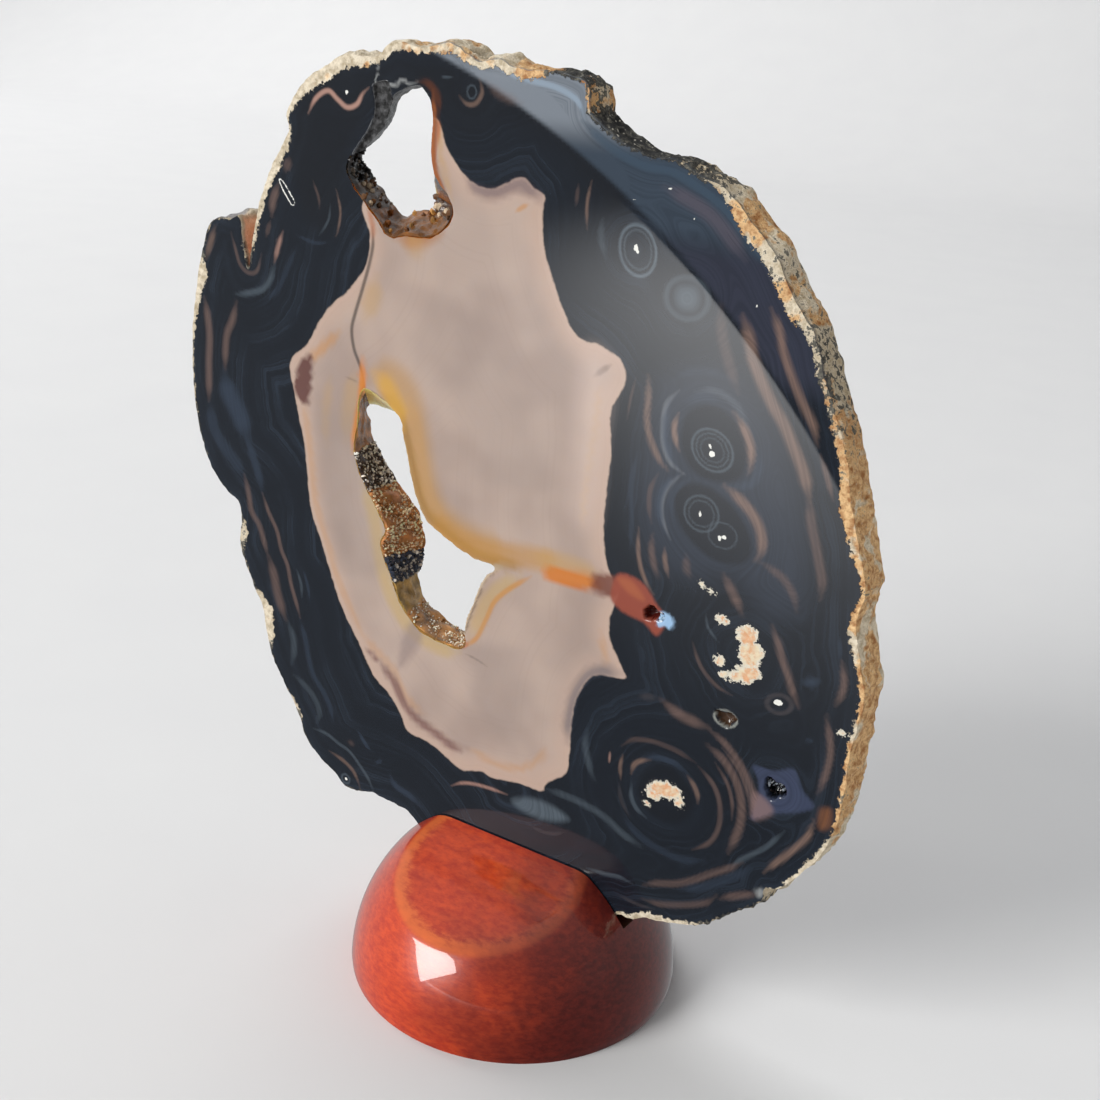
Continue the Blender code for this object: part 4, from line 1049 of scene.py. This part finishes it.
def front_depth(front):
    """Depth of the front face with its ground band, its pits and the broken edge."""
    chipped = smoothstep(0.0, 0.5, blob_distance(front, smooth_path(CHIP, MARK_SAMPLES)))
    rough = np.stack([front[:, 0], np.zeros(len(front)), front[:, 1]], axis=1)
    broken = 0.45 + 0.5 * np.abs(grain(rough, 1.3, 5.0)) + 0.25 * grain(rough, 0.6, 8.0)
    return face_depth(front) + pit_depth(front) + chipped * broken


def make_slice(materials):
    """The slice: two faces full of triangles, joined by the rings of its rind and of its hollows' walls."""
    shares = np.linspace(0, 1, RIND_STEPS)
    ring_sets = [[rind_ring(share) for share in shares]]
    for hollow in (UPPER_HOLLOW, MIDDLE_HOLLOW):
        ring_sets.append([hollow_ring(*hollow, share) for share in shares])
    front_loops = [rings[0] for rings in ring_sets]
    back_loops = [rings[-1] for rings in ring_sets]
    front, front_faces, front_ends = fill_face(front_loops, front_grid())
    back, back_faces, back_ends = fill_face(back_loops, back_grid(back_loops))

    depth = front_depth(front)
    points = [
        np.stack([front[:, 0], depth, front[:, 1]], axis=1),
        np.stack([back[:, 0], np.full(len(back), BACK), back[:, 1]], axis=1),
    ]
    count = len(front) + len(back)
    walls = []
    for rings, front_end, back_end in zip(ring_sets, front_ends, back_ends):
        rows = [front_end]
        for share, ring in list(zip(shares, rings))[1:-1]:
            ring_depth = depth[front_end] + share * (BACK - depth[front_end])
            points.append(np.stack([ring[:, 0], ring_depth, ring[:, 1]], axis=1))
            rows.append(np.arange(count, count + len(ring)))
            count += len(ring)
        rows.append(back_end + len(front))
        walls.append(wall_between(rows))
    groups = [front_faces, back_faces[:, ::-1] + len(front), walls[0], np.concatenate(walls[1:])]
    low, high = (np.array(corner) / MM for corner in SLICE_BOX)
    points = np.clip(np.concatenate(points), low, high)
    made = new_piece("slice_of_agate", points, [group.tolist() for group in groups], materials)
    edit_mesh(made, fix_normals)
    add_stone_fields(made, points, len(front), len(front) + len(back))
    edit_mesh(made, sharpen_edges)
    return made


class Nodes:
    """Short calls for the nodes of one material or of the world."""

    def __init__(self, tree):
        self.tree = tree

    def set_input(self, socket, value):
        if isinstance(value, bpy.types.NodeSocket):
            self.tree.links.new(value, socket)
        elif socket.type == "RGBA" and isinstance(value, tuple) and len(value) == 3:
            socket.default_value = (*ink(value), 1)
        else:
            socket.default_value = value

    def node(self, kind, values=(), **settings):
        made = self.tree.nodes.new("ShaderNode" + kind)
        for setting, value in settings.items():
            setattr(made, setting, value)
        for socket, value in zip(made.inputs, values):
            if value is not None:
                self.set_input(socket, value)
        return made

    def field(self, name):
        return self.node("Attribute", attribute_name=name).outputs["Fac"]

    def place(self, stretch=(1, 1, 1)):
        where = self.node("TexCoord").outputs["Object"]
        return self.node("VectorMath", (where, stretch), operation="MULTIPLY").outputs[0]

    def noise(self, size_mm, detail=2.0, roughness=0.5, where=None, along=None):
        """Noise from 0 to 1 with lumps of this size, in space or along one value."""
        made = self.node("TexNoise", noise_dimensions="3D" if along is None else "1D")
        if along is None:
            self.set_input(made.inputs["Vector"], where or self.place())
            made.inputs["Scale"].default_value = 1 / (size_mm * MM)
        else:
            self.set_input(made.inputs["W"], along)
            made.inputs["Scale"].default_value = 1 / size_mm
        made.inputs["Detail"].default_value = detail
        made.inputs["Roughness"].default_value = roughness
        return made.outputs["Fac"]

    def lumps(self, size_mm, low, high, start=0.0, end=1.0, detail=2.0, roughness=0.5):
        """Noise in space, spread from start to end."""
        return self.ramp(self.noise(size_mm, detail, roughness), low, high, start, end)

    def cells(self, size_mm):
        made = self.node("TexVoronoi")
        self.set_input(made.inputs["Vector"], self.place())
        made.inputs["Scale"].default_value = 1 / (size_mm * MM)
        return made.outputs["Distance"]

    def sums(self, operation, first, second=0.0):
        return self.node("Math", (first, second), operation=operation).outputs[0]

    def ramp(self, value, low, high, start=0.0, end=1.0):
        """Goes smoothly from start to end while the value goes from low to high."""
        made = self.node("MapRange", (value, low, high, start, end), interpolation_type="SMOOTHSTEP")
        return made.outputs[0]

    def mix(self, factor, first, second, blend="MIX"):
        made = self.node("Mix", data_type="RGBA", blend_type=blend)
        self.set_input(made.inputs["Factor"], factor)
        self.set_input(made.inputs[MIX_FIRST], first)
        self.set_input(made.inputs[MIX_SECOND], second)
        return made.outputs[MIX_RESULT]


class Shading(Nodes):
    """A material with one shader."""

    def __init__(self, name, **sockets):
        self.material = bpy.data.materials.new(name)
        self.material.use_nodes = True
        super().__init__(self.material.node_tree)
        self.shader = self.tree.nodes["Principled BSDF"]
        for socket, value in sockets.items():
            self.feed(socket.replace("_", " "), value)

    def feed(self, socket, value):
        self.set_input(self.shader.inputs[socket], value)

    def bump(self, height, distance_mm):
        made = self.node("Bump")
        self.set_input(made.inputs["Height"], height)
        made.inputs["Distance"].default_value = distance_mm * MM
        made.inputs["Strength"].default_value = 1.0
        self.feed("Normal", made.outputs[0])


def rind_colour(look):
    """The rough outer side: cream where it is chalky, golden-brown in places, nearly black in others."""
    fine = look.noise(1.1, 4.0, 0.7)
    cream = look.mix(look.ramp(fine, 0.3, 0.7), (170, 154, 126), (234, 222, 200))
    golden = look.mix(look.ramp(fine, 0.3, 0.7), (156, 104, 56), (238, 200, 146))
    dark = look.mix(look.ramp(fine, 0.45, 0.75), (30, 30, 30), (120, 116, 104))
    gold_share = look.sums("ADD", look.field("golden"), look.lumps(4.0, 0.3, 0.7, -0.5, 0.25, 3.0, 0.6))
    dark_share = look.sums("ADD", look.field("dark"), look.ramp(fine, 0.3, 0.7, -0.4, 0.4))
    colour = look.mix(look.ramp(gold_share, 0.35, 0.6), cream, golden)
    return look.mix(look.ramp(dark_share, 0.4, 0.6), colour, dark), fine


def outer_stone(look, drift):
    """Nearly black agate with fine bands that follow its growth."""
    warped = look.sums("ADD", look.field("growth"), look.ramp(drift, 0.2, 0.8, -0.8, 0.8))
    broad = look.ramp(look.noise(2.6, 3.0, 0.6, along=warped), 0.46, 0.72)
    fine = look.ramp(look.noise(0.45, 2.0, 0.6, along=warped), 0.45, 0.8, 0.0, 0.5)
    patchy = look.sums("MULTIPLY", look.sums("ADD", broad, fine), look.ramp(drift, 0.35, 0.65, 0.25, 1.0))
    return look.mix(look.sums("MULTIPLY", patchy, 0.36), (21, 26, 34), (54, 65, 80))


def stone_colour(look):
    """The banded stone itself, without its rind: nearly black outside, pale and cloudy inside."""
    core = look.field("core")
    outer = outer_stone(look, look.noise(9.0, 2.0))
    haze = look.mix(look.lumps(16.0, 0.35, 0.65), (163, 145, 136), (182, 163, 152))
    sheen = look.mix(look.ramp(core, 0.0, 5.0), (186, 162, 148), haze)
    lines = look.ramp(look.noise(0.7, 1.0, along=core), 0.5, 0.8, 0.0, 0.06)
    inner = look.mix(lines, sheen, (140, 122, 114))
    edge = look.sums("ADD", core, look.lumps(1.5, 0.2, 0.8, -0.12, 0.12))
    return look.mix(look.ramp(edge, -0.12, 0.3), outer, inner), edge


def with_marks(look, colour, edge):
    """Lays the painted marks on the stone; the faint ones in the dark stone break up into threads."""
    marks = look.node("Attribute", attribute_name="marks").outputs
    threads = look.ramp(look.noise(0.42, 2.0, 0.6, along=look.field("growth")), 0.36, 0.62, 0.76, 1.0)
    plain = look.sums("MAXIMUM", look.ramp(edge, -0.2, 0.2), look.ramp(marks["Alpha"], 0.8, 0.9))
    streaks = look.sums("MAXIMUM", threads, plain)
    covered = look.mix(look.sums("MULTIPLY", marks["Alpha"], streaks), colour, (0, 0, 0))
    return look.mix(streaks, covered, marks["Color"], "ADD")


def cream_blotches(look, ragged):
    """Cover and colour of the chalky blotches, orange in their middles."""
    cream = look.sums("ADD", look.field("cream"), look.ramp(ragged, 0.25, 0.75, -0.45, 0.45))
    middle = look.mix(look.lumps(1.0, 0.35, 0.65, detail=3.0), (214, 158, 116), (222, 206, 176))
    return look.ramp(cream, 0.0, 0.12), look.mix(look.ramp(cream, 0.25, 0.7), (214, 208, 192), middle)


def stone_material(name, gloss, sawn):
    """Agate, polished or as sawn: bands, painted marks, blotches and the edge of the rind."""
    look = Shading(name, IOR=1.54, Subsurface_Radius=(0.004, 0.003, 0.0022), Subsurface_Scale=1.0)
    colour, edge = stone_colour(look)
    colour = with_marks(look, colour, edge)
    ragged = look.noise(0.7, 3.0, 0.7)
    cream_cover, cream = cream_blotches(look, ragged)
    white = look.sums("ADD", look.field("white"), look.ramp(ragged, 0.2, 0.8, -0.1, 0.1))
    white_cover = look.ramp(white, 0.0, 0.06)
    chip_cover = look.ramp(look.field("chip"), 0.0, 0.15)
    rubble = look.mix(look.lumps(1.1, 0.4, 0.7, detail=4.0, roughness=0.7), (14, 14, 15), (84, 84, 86))
    rind, crumbs = rind_colour(look)
    ragged_rim = look.lumps(0.9, 0.2, 0.8, -0.55, 0.55, 4.0, 0.7)
    rim_cover = look.ramp(look.sums("ADD", look.field("rind"), ragged_rim), 0.0, 0.15)
    covers = ((cream_cover, cream), (white_cover, (226, 226, 220)), (chip_cover, rubble), (rim_cover, rind))
    for cover, over in covers:
        colour = look.mix(cover, colour, over)
    rough_cover = look.sums("MAXIMUM", look.sums("MAXIMUM", rim_cover, cream_cover), chip_cover)
    look.feed("Base Color", colour)
    look.feed("Subsurface Weight", look.ramp(edge, -0.1, 1.5, 0.0, 0.5))
    look.feed("Roughness", look.ramp(rough_cover, 0.0, 1.0, gloss, 0.75))
    saw_marks = look.sums("MULTIPLY", look.noise(1.2, 3.0, 0.7), sawn)
    look.bump(look.sums("ADD", look.sums("MULTIPLY", rough_cover, crumbs), saw_marks), 0.35)
    return look.material


def rind_material():
    look = Shading("rough_rind", IOR=1.5)
    colour, fine = rind_colour(look)
    specks = look.ramp(look.cells(0.9), 0.12, 0.2, 1.0, 0.0)
    speckled = look.sums("MULTIPLY", specks, look.ramp(look.field("dark"), 0.3, 0.7, 0.25, 0.7))
    marks = look.node("Attribute", attribute_name="marks").outputs
    colour = look.mix(speckled, colour, (214, 210, 196))
    look.feed("Base Color", look.mix(marks["Alpha"], colour, marks["Color"]))
    look.feed("Roughness", look.ramp(fine, 0.2, 0.8, 0.85, 0.6))
    look.bump(look.sums("ADD", fine, look.noise(0.4, 3.0, 0.7)), 0.5)
    return look.material


def wall_material():
    """The bare stone inside the hollows: glassy, and honey, pale yellow, amber and black going up; the pale
    yellow is partly painted light.
    """
    look = Shading("hollow_wall", IOR=1.54, Roughness=0.22, Subsurface_Weight=0.6, Subsurface_Scale=1.0,
                   Subsurface_Radius=(0.006, 0.005, 0.003))
    height = look.node("SeparateXYZ", (look.place(),)).outputs[2]
    colour = look.mix(look.lumps(3.0, 0.3, 0.7, detail=3.0), (176, 134, 72), (214, 178, 116))
    colour = look.mix(look.lumps(0.9, 0.5, 0.8, detail=3.0, roughness=0.7), colour, (110, 72, 40))
    for low, high, over in WALL_COLOURS:
        colour = look.mix(look.ramp(height, low * MM, high * MM), colour, over)
    look.feed("Base Color", colour)
    look.bump(look.noise(0.8, 4.0, 0.6), 0.3)
    return look.material


def crystal_material(name):
    """Small clear and brown crystals, each with a colour of its own."""
    look = Shading(name, IOR=1.54, Roughness=0.2, Transmission_Weight=0.12)
    own = look.node("Attribute", attribute_name="tint").outputs["Color"]
    look.feed("Base Color", look.mix(look.lumps(0.5, 0.4, 0.8, 0.0, 0.35, 3.0), own, (60, 40, 28)))
    look.bump(look.noise(0.25, 2.0), 0.03)
    return look.material


def crystal(centre, axis, size, twist):
    """A small six-sided crystal with a pointed top, as points and triangles."""
    side = axis.cross(Vector((0.3, 0.2, 1.0))).normalized()
    other = axis.cross(side)
    points = []
    for height in (-0.8, 0.35):
        for corner in range(6):
            angle = twist + corner * math.pi / 3
            out = side * math.cos(angle) + other * math.sin(angle)
            points.append(centre + (axis * height + out * 0.5) * size)
    points.append(centre + axis * size * 0.85)
    faces = [(0, corner + 1, corner) for corner in range(1, 5)]
    for corner in range(6):
        follow = (corner + 1) % 6
        faces += [(corner, follow, follow + 6), (corner, follow + 6, corner + 6)]
        faces.append((corner + 6, follow + 6, 12))
    return points, faces


def grow_crystals(name, spots, tints, backing, material):
    """One piece of crystals, each with its centre, axis, size and twist, and of the shell behind them."""
    points, faces, colours = backing
    for spot, tint in zip(spots, tints):
        more, sides = crystal(*spot)
        faces += [[len(points) + corner for corner in side] for side in sides]
        points += [tuple(point) for point in more]
        colours += [(*ink(tint), 1)] * len(more)
    made = new_piece(name, points, [faces], [material], smooth=False)
    add_paint(made, "tint", colours)
    edit_mesh(made, fix_normals)
    for vertex in made.data.vertices:
        vertex.co.y = min(max(vertex.co.y, (FRONT + FACE_GAP) * MM), (BACK - FACE_GAP) * MM)
    return made


def shade_of(colour, change):
    return tuple(min(255, max(0, part * change)) for part in colour)


def zone_at(zones, height):
    for zone in zones:
        if zone[0] <= height < zone[1]:
            return zone
    return zones[-1]


def crust_wall(front_points, back_points, spans):
    """A crust's number of samples along its hollow, the space between them, and how to find its places."""
    walls = np.stack([smooth_path(points, HOLLOW_SAMPLES) for points in (front_points, back_points)])
    normals = np.stack([path_normals(wall) for wall in walls])
    count = spans * HOLLOW_SAMPLES

    def place(column, share, into_stone):
        index = min(int(column), count - 1)
        ends = (walls - normals * into_stone)[:, index:index + 2]
        part = column - index
        front, back = ends[:, 0] * (1 - part) + ends[:, 1] * part
        x, z = front * (1 - share) + back * share
        return Vector((x, FRONT + share * THICKNESS, z))

    return count, np.linalg.norm(np.diff(walls[0, :count], axis=0), axis=1).mean(), place


def crust_shell(count, place, zones):
    """The lumpy layer that a crust's crystals stand on: its back, its front, and the wall all round them."""
    points, colours = [], []
    for depth in (CRUST_DEPTH - FACE_GAP, 0.0):
        for column in range(count + 1):
            for row in range(SHELL_ROWS + 1):
                share = 0.01 + 0.98 * row / SHELL_ROWS
                point = place(column, share, depth)
                relief = 0.0 if depth else 0.55 * noise.noise(point / 2.6) + 0.2 * noise.noise(point / 0.9)
                points.append(tuple(place(column, share, depth + min(relief, 0.2))))
                wall = zone_at(zones, points[-1][2])[5]
                colours.append((*ink(shade_of(wall, 1.0 + 0.5 * noise.noise(point / 1.7))), 1))
    back, front = np.arange(len(points)).reshape(2, count + 1, SHELL_ROWS + 1)
    faces = []
    for grid in (back, front):
        here, beyond = grid[:-1, :-1], grid[1:, 1:]
        for side in (grid[:-1, 1:], grid[1:, :-1]):
            faces += np.stack([here, side, beyond], axis=-1).reshape(-1, 3).tolist()
    border = [*back[:, 0], *back[-1, 1:], *back[-2::-1, -1], *back[0, -2:0:-1]]
    layer = back.size
    for one, other in zip(border, border[1:] + border[:1]):
        faces += [(one, other, other + layer), (one, other + layer, one + layer)]
    return points, [[int(corner) for corner in face] for face in faces], colours


def crust_spots(count, sample, place, zones, spacing):
    """Where a crust's crystals stand and what colour they are, zone by zone."""
    random = np.random.default_rng(count)
    spots, tints = [], []
    step = spacing / sample
    for column in np.arange(0.5 * step, count - 0.3 * step, step):
        for row in np.arange(0.5 * spacing, THICKNESS - 0.2 * spacing, spacing):
            where = np.clip(column + random.uniform(-0.4, 0.4) * step, 0.2, count - 0.2)
            share = np.clip((row + random.uniform(-0.4, 0.4) * spacing) / THICKNESS, 0.03, 0.97)
            base = place(where, share, 0.05)
            _, _, cover, size, lean, _, colour, second, second_share = zone_at(zones, base.z)
            if random.random() > cover:
                continue
            inward = (place(where, share, -0.5) - place(where, share, 0.5)).normalized()
            axis = (inward + Vector(random.normal(0, lean, 3) * 0.6)).normalized()
            tall = size * random.uniform(0.55, 1.25)
            tint = second if random.random() < second_share else colour
            spots.append((base, axis, tall, random.uniform(0, 1)))
            tints.append(shade_of(tint, random.uniform(0.75, 1.2)))
    return spots, tints


def make_crust(name, hollow, zones, spacing, material):
    """A crust of small crystals on part of a hollow's wall."""
    count, sample, place = crust_wall(*hollow)
    shell = crust_shell(count, place, zones)
    spots, tints = crust_spots(count, sample, place, zones, spacing)
    return grow_crystals(name, spots, tints, shell, material)


def pit_crystals(name, centre, half_sizes, depth, colours, count, material):
    """Crystals that line a small pit in the front face, a few of them in the second colour."""
    random = np.random.default_rng(count)
    spots, tints = [], []
    for _ in range(count):
        angle, reach = random.uniform(0, 2 * math.pi), math.sqrt(random.uniform(0, 0.7))
        right, up = math.cos(angle), math.sin(angle)
        x, z = centre[0] + half_sizes[0] * reach * right, centre[1] + half_sizes[1] * reach * up
        base = Vector((x, FRONT + depth * (1 - 0.7 * reach), z))
        axis = Vector((-0.5 * right, -1, -0.5 * up)) + Vector(random.normal(0, 0.4, 3))
        spots.append((base, axis.normalized(), random.uniform(0.3, 0.62), random.uniform(0, 1)))
        tints.append(colours[1] if random.random() < 0.3 else colours[0])
    return grow_crystals(name, spots, tints, ([], [], []), material)


def stand_radius(direction):
    """How far the stand's surface is from its middle in one direction: a ball softly joined to a flat."""
    towards = direction.dot(Vector(FACET_FACING))
    flat = FACET_DISTANCE / towards if towards > 0.05 else 1e3
    gap = max(FACET_SOFTNESS - abs(STAND_RADIUS - flat), 0) / FACET_SOFTNESS
    return min(STAND_RADIUS, flat) - gap * gap * FACET_SOFTNESS / 4


def make_stand(material):
    """The half ball, ring by ring from its foot to its top, with the slot sawn out of it."""
    turns = [2 * math.pi * step / STAND_AROUND for step in range(STAND_AROUND)]
    points = [(FOOT_RADIUS * math.cos(turn), FOOT_RADIUS * math.sin(turn), 0) for turn in turns]
    for ring in range(STAND_UP):
        angle = FOOT_ANGLE + (math.pi / 2 - FOOT_ANGLE) * ring / STAND_UP
        for turn in turns:
            flat = math.cos(angle)
            out = Vector((flat * math.cos(turn), flat * math.sin(turn), math.sin(angle)))
            points.append(tuple(out * stand_radius(out)))
    points.append((0, 0, stand_radius(Vector((0, 0, 1)))))
    rings = np.arange(len(points) - 1).reshape(-1, STAND_AROUND)
    cap = np.stack([rings[-1], np.roll(rings[-1], -1), np.full(STAND_AROUND, len(points) - 1)], axis=1)
    faces = wall_between(rings).tolist() + cap.tolist() + rings[:1].tolist()
    stand = new_piece("turned_stand", points, [faces], [material])
    edit_mesh(stand, fix_normals)
    saw_slot(stand, material)
    stand.data.shade_smooth()
    stand.data.set_sharp_from_angle(angle=math.radians(40))
    return stand


def saw_disc(mesh_data):
    middle = Vector((0, (SLOT_FRONT + SLOT_BACK) / 2, SLOT_FLOOR + SAW_RADIUS)) * MM
    place = Matrix.Translation(middle) @ Matrix.Rotation(math.pi / 2, 4, "X")
    bmesh.ops.create_cone(
        mesh_data, cap_ends=True, segments=SAW_SEGMENTS, radius1=SAW_RADIUS * MM, radius2=SAW_RADIUS * MM,
        depth=(SLOT_BACK - SLOT_FRONT) * MM, matrix=place,
    )


def saw_slot(stand, material):
    """Takes the slot out of the stand with a thin disc, as a saw would."""
    blade = link("saw", bpy.data.meshes.new("saw"))
    blade.data.materials.append(material)
    edit_mesh(blade, saw_disc)
    boolean = stand.modifiers.new("slot", "BOOLEAN")
    boolean.operation, boolean.solver, boolean.object = "DIFFERENCE", "EXACT", blade
    cut = bpy.data.meshes.new_from_object(stand.evaluated_get(bpy.context.evaluated_depsgraph_get()))
    stand.modifiers.clear()
    stand.data = cut
    bpy.data.objects.remove(blade)


def wood_material():
    """Red-brown wood under clear coat; painted shade to the right, painted highlight along the flat's edge.
    """
    look = Shading("varnished_wood", Roughness=0.3, Coat_Weight=1.0, Coat_Roughness=0.04, IOR=1.45)
    flecks = look.noise(0.7, 4.0, 0.7, where=look.place((0.35, 0.6, 1)))
    clouds = look.noise(9.0, 3.0, 0.6)
    # Painted shade: the wood goes over to a darker copy of itself towards the right, away from the light
    to_right = look.node("SeparateXYZ", (look.place(),)).outputs[0]
    side = look.ramp(look.sums("ADD", to_right, look.ramp(clouds, 0.3, 0.7, -0.003, 0.003)), -0.006, 0.024)
    warm = look.mix(look.ramp(flecks, 0.3, 0.7), (174, 42, 11), (206, 70, 21))
    shaded_wood = look.mix(look.ramp(flecks, 0.3, 0.7), (62, 14, 11), (92, 26, 19))
    colour = look.mix(look.ramp(clouds, 0.4, 0.75, 0.0, 0.2), look.mix(side, warm, shaded_wood), (120, 28, 14))
    # Painted highlight: a paler orange band along the flat's edge, strongest on the lit left and faint on
    # the right
    rise = look.node("VectorMath", (look.place(), FACET_FACING), operation="DOT_PRODUCT").outputs["Value"]
    on_flat = look.ramp(rise, (FACET_DISTANCE - 0.7) * MM, (FACET_DISTANCE - 0.2) * MM)
    far_out = look.node("VectorMath", (look.place(),), operation="LENGTH").outputs["Value"]
    ragged = look.sums("ADD", far_out, look.ramp(flecks, 0.2, 0.8, -0.0004, 0.0004))
    by_edge = look.sums("MULTIPLY", on_flat, look.ramp(ragged, 0.0266, 0.0276))
    worn = look.sums("MULTIPLY", by_edge, look.ramp(side, 0.0, 0.8, 0.6, 0.12))
    look.feed("Base Color", look.mix(worn, colour, (222, 116, 54)))
    look.bump(look.noise(0.8, 3.0, 0.6), 0.015)
    return look.material


def make_floor():
    """A pale sheet that curves up behind the object."""
    profile = [(FLOOR_FRONT, 0.0), (FLOOR_BACK, 0.0)]
    for step in range(1, BEND_STEPS + 1):
        angle = math.pi / 2 * step / BEND_STEPS
        profile.append((FLOOR_BACK + BEND_RADIUS * math.sin(angle), BEND_RADIUS * (1 - math.cos(angle))))
    profile.append((FLOOR_BACK + BEND_RADIUS, WALL_TOP))
    points = [(x, y, z) for x in (-FLOOR_HALF_WIDTH, FLOOR_HALF_WIDTH) for y, z in profile]
    count = len(profile)
    faces = [(index, index + count, index + count + 1, index + 1) for index in range(count - 1)]
    look = Shading("pale_paper", Roughness=0.9)
    look.feed("Base Color", look.mix(look.noise(40.0), (211, 211, 212), (215, 215, 215)))
    floor = new_piece("floor", np.array(points) / MM, [faces], [look.material])
    floor.visible_glossy = False
    return floor


def glow_material():
    """Light that fades from the middle of its patch, seen from above and at the first mirror only."""
    material = bpy.data.materials.new("glow")
    material.use_nodes = True
    material.node_tree.nodes.clear()
    look = Nodes(material.node_tree)
    away = look.node("VectorMath", (look.place(),), operation="LENGTH").outputs["Value"]
    upward = look.sums("SUBTRACT", 1.0, look.node("NewGeometry").outputs["Backfacing"])
    first_mirror = look.sums("LESS_THAN", look.node("LightPath").outputs["Glossy Depth"], 1.5)
    seen = look.sums("MULTIPLY", upward, first_mirror)
    strength = look.sums("MULTIPLY", look.ramp(away, 0.0, 1.0, GLOW_STRENGTH, 0.0), seen)
    light = look.node("Emission", ((1, 1, 1, 1), strength)).outputs[0]
    clear = look.node("BsdfTransparent").outputs[0]
    look.node("OutputMaterial", (look.node("AddShader", (light, clear)).outputs[0],))
    return material


def make_glow():
    """A soft patch of light on the floor in front, which only the polished face and the varnish reflect."""
    corners = np.array([(-1, -1, 0), (1, -1, 0), (1, 1, 0), (-1, 1, 0)])
    glow = new_piece("glow", corners / MM, [[(0, 1, 2, 3)]], [glow_material()])
    glow.location = GLOW_CENTRE
    glow.rotation_euler = (0, 0, GLOW_TURN)
    glow.scale = (*GLOW_REACH, 1)
    glow.visible_camera = False
    glow.visible_diffuse = False
    glow.visible_shadow = False


def light_only(lamp, piece, state):
    """Lets a lamp light one piece alone, or everything but that piece."""
    lit = bpy.data.collections.new(lamp.name + "_lit")
    lit.objects.link(piece)
    lit.collection_objects[0].light_linking.link_state = state
    lamp.light_linking.receiver_collection = lit


def add_area_light(name, place, target, width, height, radiance, colour=(1, 1, 1), roll=0.0, mirrored=True):
    light = bpy.data.lights.new(name, "AREA")
    light.shape = "RECTANGLE"
    light.size, light.size_y, light.color = width, height, colour
    light.energy = radiance * math.pi * width * height
    lamp = link(name, light)
    lamp.location = place
    lamp.rotation_mode = "QUATERNION"
    facing = (Vector(target) - Vector(place)).to_track_quat("-Z", "Y")
    lamp.rotation_quaternion = facing @ Matrix.Rotation(roll, 3, "Z").to_quaternion()
    lamp.visible_camera = False
    lamp.visible_glossy = mirrored
    return lamp


def make_world():
    """A room that is brighter behind and to the left than in front; the camera sees it plain and pale."""
    world = bpy.data.worlds.new("soft_room")
    world.use_nodes = True
    look = Nodes(world.node_tree)
    background = world.node_tree.nodes["Background"].inputs
    direction = look.node("TexCoord").outputs["Generated"]
    towards = look.node("VectorMath", (direction, ROOM_BRIGHT_SIDE), operation="DOT_PRODUCT")
    side = towards.outputs["Value"]
    brightness = look.node("MapRange", (side, -1.0, 1.0, ROOM_DIM, ROOM_BRIGHT)).outputs[0]
    seen = look.node("LightPath").outputs["Is Camera Ray"]
    look.set_input(background["Strength"], look.node("Mix", (seen, None, brightness, ROOM_SEEN)).outputs[0])
    look.set_input(background["Color"], ROOM_COLOUR)
    bpy.context.scene.world = world


def make_lights(stand, floor):
    """A window, a lower one for the stand alone, so that each highlight is in its place, and two fills."""
    window = add_area_light(
        "window", place=(-1.08, -2.03, 1.27), target=(0, 0, 0.02), width=1.15, height=1.15,
        radiance=15.0, colour=WINDOW_WHITE, roll=WINDOW_ROLL,
    )
    low_window = add_area_light(
        "low_window", place=(-1.08, -2.03, 0.72), target=(0, 0, 0.02), width=1.25, height=1.25,
        radiance=12.2, colour=WINDOW_WHITE, roll=WINDOW_ROLL,
    )
    add_area_light(
        "back_left", place=(-1.8, 0.9, 2.1), target=(-0.6, 0.8, 0.2), width=1.6, height=1.6, radiance=4.8,
        mirrored=False,
    )
    fill = add_area_light(
        "fill_right", place=(1.4, 0.05, 0.28), target=(0, 0, 0.08), width=0.6, height=0.4, radiance=9.0,
        colour=FILL_WARM, mirrored=False,
    )
    light_only(window, stand, "EXCLUDE")
    light_only(low_window, stand, "INCLUDE")
    light_only(fill, floor, "EXCLUDE")


def make_camera():
    up = (CAMERA_UP - CAMERA_RIGHT * CAMERA_UP.dot(CAMERA_RIGHT)).normalized()
    camera = link("camera", bpy.data.cameras.new("camera"))
    turn = Matrix((CAMERA_RIGHT, up, CAMERA_RIGHT.cross(up))).transposed()
    camera.matrix_world = Matrix.Translation(CAMERA_PLACE) @ turn.to_4x4()
    camera.data.sensor_width = 36.0
    camera.data.lens = CAMERA_LENS
    camera.data.clip_start = 0.01
    bpy.context.scene.camera = camera


RIM = smooth_path(SLICE_OUTLINE, RIM_SAMPLES)
CORE = smooth_path(CORE_OUTLINE, MARK_SAMPLES)
UPPER_EDGE = hollow_ring(*UPPER_HOLLOW, 0.0)
MIDDLE_EDGE = hollow_ring(*MIDDLE_HOLLOW, 0.0)

bpy.context.scene.view_settings.view_transform = "Standard"
make_camera()
floor = make_floor()

agate = make_slice([
    stone_material("polished_agate", gloss=0.06, sawn=0.0),
    stone_material("sawn_agate", gloss=0.35, sawn=0.15),
    rind_material(),
    wall_material(),
])
hand_over(agate, "agate_slice")

brown = crystal_material("brown_quartz")
sparkling = crystal_material("sparkling_quartz")
upper = make_crust("upper_crust", UPPER_HOLLOW, UPPER_ZONES, 0.75, brown)
hand_over(upper, "upper_hollow_crystals")
middle = make_crust("middle_crust", MIDDLE_HOLLOW, MIDDLE_ZONES, 0.35, sparkling)
hand_over(middle, "middle_hollow_crystals")
pocket = pit_crystals("pocket_crystals", (44.3, 50.6), (1.6, 1.4), 2.2, DARK_QUARTZ, 46, sparkling)
hand_over(pocket)
clear = pit_crystals("clear_crystals", (24.1, 71.5), (1.3, 1.1), 0.6, CLEAR_QUARTZ, 40, sparkling)
hand_over(clear)

stand = make_stand(wood_material())
hand_over(stand, "wooden_stand")

make_world()
make_glow()
make_lights(stand, floor)
